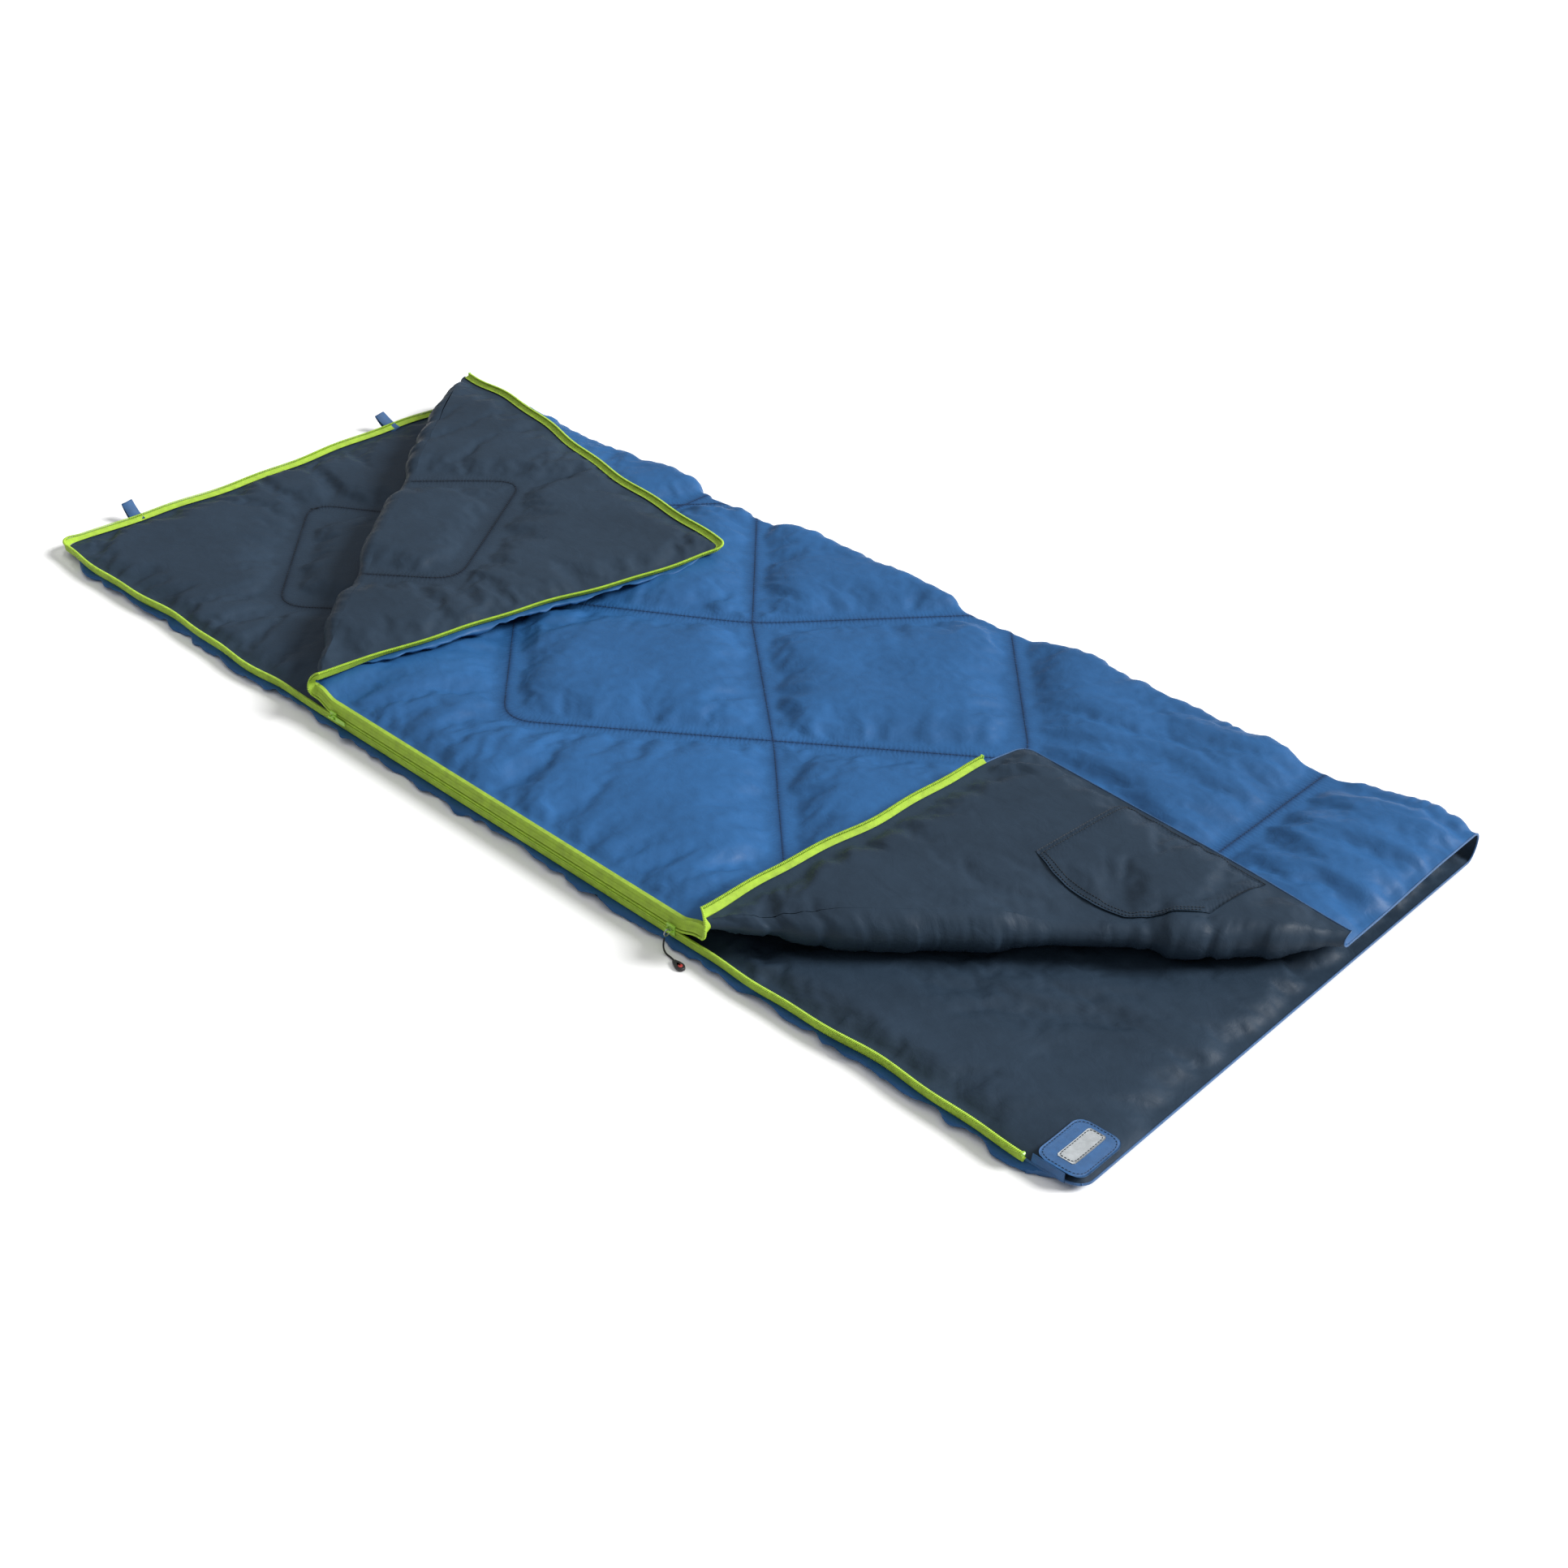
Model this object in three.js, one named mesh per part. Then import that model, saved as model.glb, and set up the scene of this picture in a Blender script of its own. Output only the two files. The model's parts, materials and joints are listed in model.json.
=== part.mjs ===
// Rectangular sleeping bag, spread out, with its near-foot and near-head corners folded back.
// Millimetres. +X runs from the foot to the head, +Y from the zip to the folded side, +Z up.
// One quilt is folded along its far side into a bottom and a top layer. A two-way zip runs along the
// near side and round the foot. The closed stretch of the zip lies between the two sliders.

import * as THREE from 'three';

// ---- driving dimensions ----

const LENGTH = 1900;              // bag, foot edge to head edge
const WIDTH = 800;                // folded bag, zip side to folded side
const LOFT = 20;                  // one quilt layer: shell, fill and lining
const CLOTH = 1.5;                // shell or lining cloth, with its share of the fill
const CAVITY = 8;                 // space between the two layers, inside the bag
const FOLD_GAP = 10;              // space between a folded corner and the layer under it
const CLEAR = 0.3;                // gap between touching pieces

const CORNER_RADIUS = 18;         // rounded corners of the quilt, seen from above
const FOOT_CREASE_X = -297;       // where the foot crease meets the zip side
const HEAD_CREASE_X = 425;        // where the head crease meets the zip side
const HEAD_CREASE_Y = 90;         // where the head crease meets the head edge

const FOOT_SLIDER_X = -256;       // slider at the foot end of the closed stretch
const HEAD_SLIDER_X = 379;        // slider at the head end of the closed stretch

const COIL_HEIGHT = 2.7;          // one row of zip coil, across the zip
const COIL_DEPTH = 3;             // one row of zip coil, front to back
const COIL_PARTING = 1.4;         // space between the two rows, for the slider's post
const TAPE_HEIGHT = 9.3;          // visible zip tape on each side of the coil
const TAPE_THICK = 1.4;
const TAPE_LEAN = 4.6;            // how far the tape leans out from seam to coil
const STOP_LENGTH = 3.5;

const LOOP_REACH = 34;            // hanging loop, out from the foot edge
const LOOP_WIDTH = 20;
const LOOP_HEIGHT = 8.4;
const LOOP_BASE = 1.5;            // its lower face above the ground
const RIBBON = 1.2;
const FAR_LOOP_Y = 219;
const NEAR_LOOP_Y = -270;

const TAB_WIDTH = 58;             // corner tab, along the zip
const TAB_LENGTH = 77;            // corner tab, in from the zip side
const TAB_HEAD_X = 948;           // its edge nearest the head
const TAB_THICK = 1.5;
const PATCH_THICK = 0.8;

const POCKET_WIDTH = 205;         // inner pocket, along the head edge
const POCKET_DEPTH = 180;         // inner pocket, from the head edge to its mouth
const POCKET_NEAR_Y = -227;
const POCKET_THICK = 1;

// ---- sizes worked out from them ----

const HALF_L = LENGTH / 2;
const HALF_W = WIDTH / 2;
const TOP_BASE = LOFT + CAVITY;                     // underside of the top layer
const TOP_FACE = TOP_BASE + LOFT;                   // upper face of the top layer
const SIDE_Y = HALF_W - TOP_FACE / 2;               // axis of the far side fold
const SIDE_Z = TOP_FACE / 2;
const HINGE_Z = TOP_FACE + FOLD_GAP / 2;            // both creases turn about this height
const ZIP_Z = TOP_FACE / 2;                         // the plane where the zip closes
const COIL_OUT = TAPE_LEAN - 0.4;                   // inner face of the coil, out from the edge
const COIL_FRONT = COIL_OUT + COIL_DEPTH;
const RING_RADIUS = 4.2;
const WIRE_RADIUS = 0.8;

const footCreaseNear = new THREE.Vector2(FOOT_CREASE_X, -HALF_W);
const footCreaseFar = new THREE.Vector2(-HALF_L, SIDE_Y);
const headCreaseNear = new THREE.Vector2(HEAD_CREASE_X, -HALF_W);
const headCreaseFar = new THREE.Vector2(HALF_L, HEAD_CREASE_Y);

// ---- materials ----

function cloth(color, roughness) {
  return new THREE.MeshStandardMaterial({ color, roughness, metalness: 0 });
}

const shellCloth = cloth(0x2f5d9c, 0.45);
const liningCloth = cloth(0x2b3640, 0.5);
const fibreFill = cloth(0xe8e8e4, 0.95);
const limeTape = cloth(0x9cc935, 0.7);
const limeCoil = cloth(0x7fae2a, 0.5);
const hookCloth = cloth(0x24415f, 0.9);
const greyPatch = cloth(0x8f979e, 0.8);
const blackCord = cloth(0x16171a, 0.8);
const blackPlastic = cloth(0x1b1c1f, 0.4);
const redInset = cloth(0xa02a2c, 0.5);
const limeMetal = new THREE.MeshStandardMaterial({ color: 0x8fbd3a, roughness: 0.4, metalness: 0.5 });
const steel = new THREE.MeshStandardMaterial({ color: 0xb9bcc0, roughness: 0.3, metalness: 1 });

// ---- shape helpers ----

function add(group, name, geometry, material) {
  const mesh = new THREE.Mesh(geometry, material);
  mesh.name = name;
  group.add(mesh);
  return mesh;
}

// A plan outline from corners [x, y, radius]; a corner without a radius stays sharp.
function outline(corners) {
  const shape = new THREE.Shape();
  corners.forEach(([x, y, radius = 0], i) => {
    const corner = new THREE.Vector2(x, y);
    if (radius === 0) {
      if (i === 0) shape.moveTo(x, y);
      else shape.lineTo(x, y);
      return;
    }
    const before = corners[(i + corners.length - 1) % corners.length];
    const after = corners[(i + 1) % corners.length];
    const back = new THREE.Vector2(before[0], before[1]).sub(corner).normalize();
    const ahead = new THREE.Vector2(after[0], after[1]).sub(corner).normalize();
    const half = Math.acos(back.dot(ahead)) / 2;
    const start = corner.clone().addScaledVector(back, radius / Math.tan(half));
    const end = corner.clone().addScaledVector(ahead, radius / Math.tan(half));
    const toCentre = back.clone().add(ahead).normalize();
    const centre = corner.clone().addScaledVector(toCentre, radius / Math.sin(half));
    if (i === 0) shape.moveTo(start.x, start.y);
    else shape.lineTo(start.x, start.y);
    const from = start.clone().sub(centre).angle();
    const to = end.clone().sub(centre).angle();
    shape.absarc(centre.x, centre.y, radius, from, to, back.cross(ahead) > 0);
  });
  shape.closePath();
  return shape;
}

function slab(shape, low, high, curveSegments = 6) {
  const options = { depth: high - low, bevelEnabled: false, curveSegments };
  return new THREE.ExtrudeGeometry(shape, options).translate(0, 0, low);
}

// A section drawn as (y, z), run along X from one place to another.
function alongX(section, from, to, curveSegments = 10) {
  const options = { depth: to - from, bevelEnabled: false, curveSegments };
  const turn = new THREE.Matrix4().set(0, 0, 1, 0, 1, 0, 0, 0, 0, 1, 0, 0, 0, 0, 0, 1);
  return new THREE.ExtrudeGeometry(section, options).applyMatrix4(turn).translate(from, 0, 0);
}

// A section drawn as (x, z), run along Y from one place to another.
function alongY(section, from, to, curveSegments = 6) {
  const options = { depth: to - from, bevelEnabled: false, curveSegments };
  const turn = new THREE.Matrix4().set(1, 0, 0, 0, 0, 0, -1, 0, 0, 1, 0, 0, 0, 0, 0, 1);
  return new THREE.ExtrudeGeometry(section, options).applyMatrix4(turn).translate(0, to, 0);
}

function box(x0, x1, y0, y1, z0, z1) {
  const geometry = new THREE.BoxGeometry(x1 - x0, y1 - y0, z1 - z0);
  return geometry.translate((x0 + x1) / 2, (y0 + y1) / 2, (z0 + z1) / 2);
}

// Half of a ring, opening towards -x, drawn about the origin.
function halfRing(inner, outer) {
  const shape = new THREE.Shape();
  shape.absarc(0, 0, outer, -Math.PI / 2, Math.PI / 2, false);
  shape.absarc(0, 0, inner, Math.PI / 2, -Math.PI / 2, true);
  shape.closePath();
  return shape;
}

// A closed sweep of a section [out, height] along stations {x, y, outX, outY}, with flat ends.
function edgeSweep(section, stations) {
  const count = section.length;
  const positions = [];
  for (const { x, y, outX, outY } of stations) {
    for (const [out, height] of section) positions.push(x + out * outX, y + out * outY, height);
  }
  const indices = [];
  for (let s = 0; s + 1 < stations.length; s += 1) {
    for (let k = 0; k < count; k += 1) {
      const a = s * count + k;
      const b = s * count + ((k + 1) % count);
      indices.push(a, b, a + count, b, b + count, a + count);
    }
  }
  const last = (stations.length - 1) * count;
  for (let k = 1; k + 1 < count; k += 1) {
    indices.push(0, k + 1, k);
    indices.push(last, last + k, last + k + 1);
  }
  const geometry = new THREE.BufferGeometry();
  geometry.setAttribute('position', new THREE.Float32BufferAttribute(positions, 3));
  geometry.setIndex(indices);
  geometry.computeVertexNormals();
  return geometry;
}

// Stations along the zip side from one x to another, facing -Y.
function zipSideStations(from, to) {
  return [from, to].map((x) => ({ x, y: -HALF_W, outX: 0, outY: -1 }));
}

// Stations from x on the zip side, round the near-foot corner, to y on the foot edge.
function footCornerStations(startX, endY) {
  const stations = [{ x: startX, y: -HALF_W, outX: 0, outY: -1 }];
  const steps = 6;
  for (let i = 0; i <= steps; i += 1) {
    const angle = -Math.PI / 2 - (i / steps) * (Math.PI / 2);
    stations.push({
      x: -HALF_L + CORNER_RADIUS + CORNER_RADIUS * Math.cos(angle),
      y: -HALF_W + CORNER_RADIUS + CORNER_RADIUS * Math.sin(angle),
      outX: Math.cos(angle),
      outY: Math.sin(angle),
    });
  }
  stations.push({ x: -HALF_L, y: endY, outX: -1, outY: 0 });
  return stations;
}

// ---- quilt layers ----

// The three cloth and fill layers of a panel, from its lower face up.
function addPanel(group, name, shape, base, shellBelow) {
  const shellLow = shellBelow ? base : base + LOFT - CLOTH;
  const liningLow = shellBelow ? base + LOFT - CLOTH : base;
  const fillLow = base + CLOTH + CLEAR;
  const fillHigh = base + LOFT - CLOTH - CLEAR;
  add(group, `${name}_shell`, slab(shape, shellLow, shellLow + CLOTH), shellCloth);
  add(group, `${name}_fill`, slab(shape, fillLow, fillHigh), fibreFill);
  add(group, `${name}_lining`, slab(shape, liningLow, liningLow + CLOTH), liningCloth);
}

// Moves a crease line sideways, to leave room between the pieces on its two sides.
function besideCrease(near, far, distance) {
  const side = far.clone().sub(near).normalize();
  const shift = new THREE.Vector2(-side.y, side.x).multiplyScalar(distance);
  return [near.clone().add(shift), far.clone().add(shift)];
}

function addBottomPanel(group) {
  const shape = outline([
    [-HALF_L, -HALF_W, CORNER_RADIUS],
    [HALF_L, -HALF_W, CORNER_RADIUS],
    [HALF_L, SIDE_Y - CLEAR],
    [-HALF_L, SIDE_Y - CLEAR],
  ]);
  addPanel(group, 'bottom', shape, 0, true);
}

// The quilt turns over the far side in a half round, shell outside.
function addSideFold(group) {
  const rings = [
    ['side_fold_shell', SIDE_Z - CLOTH, SIDE_Z, shellCloth],
    ['side_fold_fill', CAVITY / 2 + CLOTH + CLEAR, SIDE_Z - CLOTH - CLEAR, fibreFill],
    ['side_fold_lining', CAVITY / 2, CAVITY / 2 + CLOTH, liningCloth],
  ];
  for (const [name, inner, outer, material] of rings) {
    const geometry = alongX(halfRing(inner, outer), -HALF_L, HALF_L).translate(0, SIDE_Y, SIDE_Z);
    add(group, name, geometry, material);
  }
}

function addTopPanel(group) {
  const [footNear, footFar] = besideCrease(footCreaseNear, footCreaseFar, -0.5);
  const [headNear, headFar] = besideCrease(headCreaseNear, headCreaseFar, 0.5);
  const shape = outline([
    [footNear.x, -HALF_W],
    [headNear.x, -HALF_W],
    [HALF_L, headFar.y],
    [HALF_L, SIDE_Y - CLEAR],
    [footFar.x, SIDE_Y - CLEAR],
  ]);
  addPanel(group, 'top', shape, TOP_BASE, false);
}

// The turned quilt at a crease, lining outside, between the top layer and a folded corner.
function addCrease(group, name, near, far, nearTrim, farTrim) {
  const run = far.clone().sub(near);
  const length = run.length() - nearTrim - farTrim;
  const direction = run.clone().normalize();
  const rings = [
    ['shell', FOLD_GAP / 2, FOLD_GAP / 2 + CLOTH, shellCloth],
    ['fill', FOLD_GAP / 2 + CLOTH + CLEAR, FOLD_GAP / 2 + LOFT - CLOTH - CLEAR, fibreFill],
    ['lining', FOLD_GAP / 2 + LOFT - CLOTH, FOLD_GAP / 2 + LOFT, liningCloth],
  ];
  const crease = new THREE.Group();
  const start = near.clone().addScaledVector(direction, nearTrim);
  crease.position.set(start.x, start.y, HINGE_Z);
  crease.rotation.z = direction.angle();
  group.add(crease);
  // the foot crease bulges to the foot side, the head crease to the head side
  const side = name === 'foot' ? 1 : -1;
  for (const [layer, inner, outer, material] of rings) {
    const geometry = alongX(halfRing(inner, outer), 0, length).translate(0, CLEAR, 0);
    if (side < 0) geometry.rotateX(Math.PI);
    add(crease, `${name}_crease_${layer}`, geometry, material);
  }
}

// A group whose contents are drawn unfolded, and turned half a turn about the crease.
function foldedBack(group, near, far) {
  const direction = far.clone().sub(near).normalize();
  const turned = new THREE.Group();
  turned.position.set(near.x, near.y, HINGE_Z);
  turned.quaternion.setFromAxisAngle(new THREE.Vector3(direction.x, direction.y, 0), Math.PI);
  const unfolded = new THREE.Group();
  unfolded.position.set(-near.x, -near.y, -HINGE_Z);
  turned.add(unfolded);
  group.add(turned);
  return unfolded;
}

// ---- zip ----

// Sections of the lower tape and coil row, as [out from the edge, height]. The upper ones mirror them.
const tapeTip = ZIP_Z - COIL_PARTING / 2 - COIL_HEIGHT - CLEAR;
const tapeSection = [
  [0.4, tapeTip - TAPE_HEIGHT],
  [0.4 + TAPE_THICK, tapeTip - TAPE_HEIGHT],
  [0.4 + TAPE_LEAN + TAPE_THICK, tapeTip],
  [0.4 + TAPE_LEAN, tapeTip],
];
const coilSection = [
  [COIL_OUT, tapeTip + CLEAR],
  [COIL_FRONT, tapeTip + CLEAR],
  [COIL_FRONT, tapeTip + CLEAR + COIL_HEIGHT],
  [COIL_OUT, tapeTip + CLEAR + COIL_HEIGHT],
];

function mirrored(section) {
  return section.map(([out, height]) => [out, 2 * ZIP_Z - height]).reverse();
}

// A run towards -X or round the corner keeps this winding; a run towards +X needs the other.
function zipRow(section, stations) {
  const ahead = stations[1].x > stations[0].x;
  return edgeSweep(ahead ? [...section].reverse() : section, stations);
}

function addZip(group, name, upper, stationsFor) {
  const place = upper ? mirrored : (section) => section;
  add(group, `zip_tape_${name}`, zipRow(place(tapeSection), stationsFor(0)), limeTape);
  add(group, `zip_coil_${name}`, zipRow(place(coilSection), stationsFor(STOP_LENGTH + CLEAR)), limeCoil);
}

// A stop clamped over the end of one coil row, on the zip side or on the foot edge.
function zipStop(upper, onFootEdge, at) {
  const low = upper ? ZIP_Z + COIL_PARTING / 2 - 0.1 : tapeTip + CLEAR - 0.1;
  const high = low + COIL_HEIGHT + 0.2;
  const back = COIL_OUT - 0.3;
  const front = COIL_FRONT + 0.3;
  if (onFootEdge) return box(-HALF_L - front, -HALF_L - back, at, at + STOP_LENGTH, low, high);
  return box(at, at + STOP_LENGTH, -HALF_W - front, -HALF_W - back, low, high);
}

const ZIP_HEAD_END = TAB_HEAD_X - TAB_WIDTH - 6;    // the zip stops short of the corner tab
const ZIP_FOOT_END = SIDE_Y - 6;                    // and short of the far side fold
const CREASE_CLEAR = 3;                             // the tapes part at the creases

function addBottomZip(group) {
  addZip(group, 'bottom', false, (inset) => footCornerStations(ZIP_HEAD_END - inset, ZIP_FOOT_END - inset));
  const headStop = zipStop(false, false, ZIP_HEAD_END - STOP_LENGTH);
  const footStop = zipStop(false, true, ZIP_FOOT_END - STOP_LENGTH);
  add(group, 'zip_stop_bottom_head', headStop, steel);
  add(group, 'zip_stop_bottom_foot', footStop, steel);
}

function addTopZip(group) {
  const from = FOOT_CREASE_X + CREASE_CLEAR;
  const to = HEAD_CREASE_X - CREASE_CLEAR;
  addZip(group, 'top', true, () => zipSideStations(from, to));
}

// ---- folded corners ----

function addFootFlap(group) {
  const flap = foldedBack(group, footCreaseNear, footCreaseFar);
  const [near, far] = besideCrease(footCreaseNear, footCreaseFar, 0.5);
  const shape = outline([
    [near.x, -HALF_W],
    [-HALF_L, far.y],
    [-HALF_L, -HALF_W, CORNER_RADIUS],
  ]);
  addPanel(flap, 'foot_flap', shape, TOP_BASE, false);
  const start = FOOT_CREASE_X - CREASE_CLEAR;
  addZip(flap, 'foot_flap', true, (inset) => footCornerStations(start, ZIP_FOOT_END - inset));
  add(flap, 'zip_stop_foot_flap', zipStop(true, true, ZIP_FOOT_END - STOP_LENGTH), steel);
  const tail = outline([
    [0.4, 2 * ZIP_Z - tapeTip + 4],
    [0.4 + TAPE_THICK, 2 * ZIP_Z - tapeTip + 4],
    [0.4 + TAPE_THICK, 2 * ZIP_Z - tapeTip + 9],
    [0.4, 2 * ZIP_Z - tapeTip + 9],
  ]);
  const tailGeometry = alongY(tail, ZIP_FOOT_END + CLEAR, ZIP_FOOT_END + 22);
  add(flap, 'zip_tape_tail', tailGeometry.translate(-HALF_L - 3, 0, 0), limeTape);
}

function addHeadFlap(group) {
  const flap = foldedBack(group, headCreaseNear, headCreaseFar);
  const [near, far] = besideCrease(headCreaseNear, headCreaseFar, -0.5);
  const shape = outline([
    [near.x, -HALF_W],
    [HALF_L, -HALF_W, CORNER_RADIUS],
    [HALF_L, far.y],
  ]);
  addPanel(flap, 'head_flap', shape, TOP_BASE, false);
  const start = HEAD_CREASE_X + CREASE_CLEAR;
  addZip(flap, 'head_flap', true, (inset) => zipSideStations(start, ZIP_HEAD_END - inset));
  add(flap, 'zip_stop_head_flap', zipStop(true, false, ZIP_HEAD_END - STOP_LENGTH), steel);
  addPocket(flap);
  const patchHigh = TOP_FACE + CLEAR + PATCH_THICK;
  const patch = box(
    TAB_HEAD_X - TAB_WIDTH + 8, TAB_HEAD_X - 8,
    -HALF_W + 14, -HALF_W + 54,
    TOP_FACE + CLEAR, patchHigh,
  );
  add(flap, 'tab_loop_patch', patch, hookCloth);
}

// A flat pocket on the lining, sewn in at the head edge, with a curved mouth away from it. The head
// crease cuts its far corner off.
function addPocket(flap) {
  const margin = 8;
  const headSide = HALF_L - 6;
  const mouth = HALF_L - POCKET_DEPTH;
  const far = POCKET_NEAR_Y + POCKET_WIDTH;
  const slope = (HEAD_CREASE_Y + HALF_W) / (HALF_L - HEAD_CREASE_X);
  const farAtCrease = HEAD_CREASE_X + (far + margin + HALF_W) / slope;
  const mouthAtCrease = -HALF_W + (mouth - HEAD_CREASE_X) * slope - margin;
  const shape = new THREE.Shape();
  shape.moveTo(mouth + 8, POCKET_NEAR_Y);
  shape.lineTo(headSide, POCKET_NEAR_Y);
  shape.lineTo(headSide, far);
  shape.lineTo(farAtCrease, far);
  shape.lineTo(mouth, mouthAtCrease);
  const middle = (POCKET_NEAR_Y + mouthAtCrease) / 2;
  shape.quadraticCurveTo(mouth - 24, middle, mouth + 8, POCKET_NEAR_Y);
  const high = TOP_BASE - CLEAR;
  add(flap, 'inner_pocket', slab(shape, high - POCKET_THICK, high, 8), liningCloth);
}

// ---- hanging loops and corner tab ----

function addLoop(group, name, y) {
  const outer = LOOP_HEIGHT / 2;
  const inner = outer - RIBBON;
  const edge = -HALF_L - 0.4;
  const bend = -HALF_L - LOOP_REACH + outer;
  const middle = LOOP_BASE + outer;
  const shape = new THREE.Shape();
  shape.moveTo(edge, middle + outer);
  shape.lineTo(bend, middle + outer);
  shape.absarc(bend, middle, outer, Math.PI / 2, (3 * Math.PI) / 2, false);
  shape.lineTo(edge, middle - outer);
  shape.lineTo(edge, middle - inner);
  shape.lineTo(bend, middle - inner);
  shape.absarc(bend, middle, inner, (3 * Math.PI) / 2, Math.PI / 2, true);
  shape.lineTo(edge, middle + inner);
  shape.closePath();
  add(group, name, alongY(shape, y - LOOP_WIDTH / 2, y + LOOP_WIDTH / 2), shellCloth);
}

const TAB_HINGE_Y = -HALF_W - 1;
const HOOK_BASE = LOFT + 0.4;
const TAB_BASE = HOOK_BASE + PATCH_THICK + CLEAR;

// The part of the tab that is sewn down the side of the bottom layer.
function addTabAnchor(group) {
  const left = TAB_HEAD_X - TAB_WIDTH;
  const right = TAB_HEAD_X - CORNER_RADIUS;
  add(group, 'tab_anchor', box(left, right, -HALF_W - 2, -HALF_W - 0.5, 2, LOFT), shellCloth);
}

function addCornerTab(group) {
  const left = TAB_HEAD_X - TAB_WIDTH;
  const tip = TAB_HINGE_Y + TAB_LENGTH;
  const strap = outline([
    [left, TAB_HINGE_Y + 2],
    [TAB_HEAD_X, TAB_HINGE_Y + 2],
    [TAB_HEAD_X, tip, 14],
    [left, tip, 14],
  ]);
  add(group, 'tab_strap', slab(strap, TAB_BASE, TAB_BASE + TAB_THICK), shellCloth);
  const hook = box(left + 10, TAB_HEAD_X - 10, tip - 50, tip - 10, HOOK_BASE, HOOK_BASE + PATCH_THICK);
  add(group, 'tab_hook_patch', hook, hookCloth);
  const labelLow = TAB_BASE + TAB_THICK + CLEAR;
  const label = box(left + 18, TAB_HEAD_X - 18, TAB_HINGE_Y + 14, tip - 8, labelLow, labelLow + PATCH_THICK);
  add(group, 'tab_label', label, greyPatch);
}

// ---- sliders and pulls ----

const SLIDER_LENGTH = 13;
const SLIDER_BACK = COIL_OUT - 0.4;                 // front face of the back plate
const SLIDER_FACE = COIL_FRONT + 0.4;               // back face of the front plate
const PLATE = 1.5;
const SLIDER_HALF_HEIGHT = 6.4;
const BAIL_BAR = SLIDER_FACE + PLATE + 3.8;         // inner face of the bail's bar
const BAIL_THICK = 1;
const BAIL_HALF_LENGTH = 5;

// A section of front plate, lips, post and back plate, drawn as (out, height) about the zip plane.
function sliderSection() {
  const post = 0.3;
  const lip = SLIDER_FACE - 0.6;
  const back = SLIDER_BACK - PLATE;
  const backHalf = 3.1;
  const lipLow = SLIDER_HALF_HEIGHT - 1.4;
  const corners = [
    [SLIDER_FACE + PLATE, -SLIDER_HALF_HEIGHT],
    [SLIDER_FACE + PLATE, SLIDER_HALF_HEIGHT],
    [lip, SLIDER_HALF_HEIGHT],
    [lip, lipLow],
    [SLIDER_FACE, lipLow],
    [SLIDER_FACE, post],
    [SLIDER_BACK, post],
    [SLIDER_BACK, backHalf],
    [back, backHalf],
    [back, -backHalf],
    [SLIDER_BACK, -backHalf],
    [SLIDER_BACK, -post],
    [SLIDER_FACE, -post],
    [SLIDER_FACE, -lipLow],
    [lip, -lipLow],
    [lip, -SLIDER_HALF_HEIGHT],
  ];
  return outline(corners.map(([out, height]) => [-HALF_W - out, ZIP_Z + height]));
}

function addSlider(group, name, x) {
  const half = SLIDER_LENGTH / 2;
  add(group, `${name}_body`, alongX(sliderSection(), x - half, x + half), limeMetal);
  // the bail arches over the front plate, along the zip
  const foot = SLIDER_FACE + PLATE + CLEAR;
  const bar = BAIL_BAR + BAIL_THICK;
  const arch = outline([
    [x - BAIL_HALF_LENGTH, -HALF_W - foot],
    [x - BAIL_HALF_LENGTH, -HALF_W - bar],
    [x + BAIL_HALF_LENGTH, -HALF_W - bar],
    [x + BAIL_HALF_LENGTH, -HALF_W - foot],
    [x + BAIL_HALF_LENGTH - BAIL_THICK, -HALF_W - foot],
    [x + BAIL_HALF_LENGTH - BAIL_THICK, -HALF_W - BAIL_BAR],
    [x - BAIL_HALF_LENGTH + BAIL_THICK, -HALF_W - BAIL_BAR],
    [x - BAIL_HALF_LENGTH + BAIL_THICK, -HALF_W - foot],
  ]);
  add(group, `${name}_bail`, slab(arch, ZIP_Z - 1, ZIP_Z + 1), limeMetal);
}

const PULL_AXIS_OUT = SLIDER_FACE + PLATE + 1.45;   // the foot pull turns about this line
const PULL_AXIS_X = 2.65;                           // ahead of the slider's middle

// A flat tab with a window that the bail passes through.
function addFootPull(group, x) {
  const tab = outline([
    [x + 2, ZIP_Z - 3.6],
    [x + 27, ZIP_Z - 2.8, 2],
    [x + 27, ZIP_Z + 2.8, 2],
    [x + 2, ZIP_Z + 3.6],
  ]);
  const window = new THREE.Path();
  window.moveTo(x + 3.3, ZIP_Z - 2);
  window.lineTo(x + 3.3, ZIP_Z + 2);
  window.lineTo(x + 7.2, ZIP_Z + 2);
  window.lineTo(x + 7.2, ZIP_Z - 2);
  window.closePath();
  tab.holes.push(window);
  const y = -HALF_W - PULL_AXIS_OUT;
  add(group, 'foot_pull_tab', alongY(tab, y - 0.6, y + 0.6), limeMetal);
}

const RING_DROP = 2.2;                              // from the bail's bar to the ring's middle
const RING_TILT = Math.PI / 4;                      // below level, hanging outwards

// A wire ring through the bail, hanging down and out, in the plane across the zip.
function addHeadRing(group, x) {
  const out = BAIL_BAR + BAIL_THICK / 2;
  const ring = new THREE.TorusGeometry(RING_RADIUS, WIRE_RADIUS, 8, 20);
  ring.rotateY(Math.PI / 2);
  const y = -HALF_W - out - RING_DROP * Math.cos(RING_TILT);
  const z = ZIP_Z - RING_DROP * Math.sin(RING_TILT);
  add(group, 'head_pull_ring', ring.translate(x, y, z), steel);
}

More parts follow.
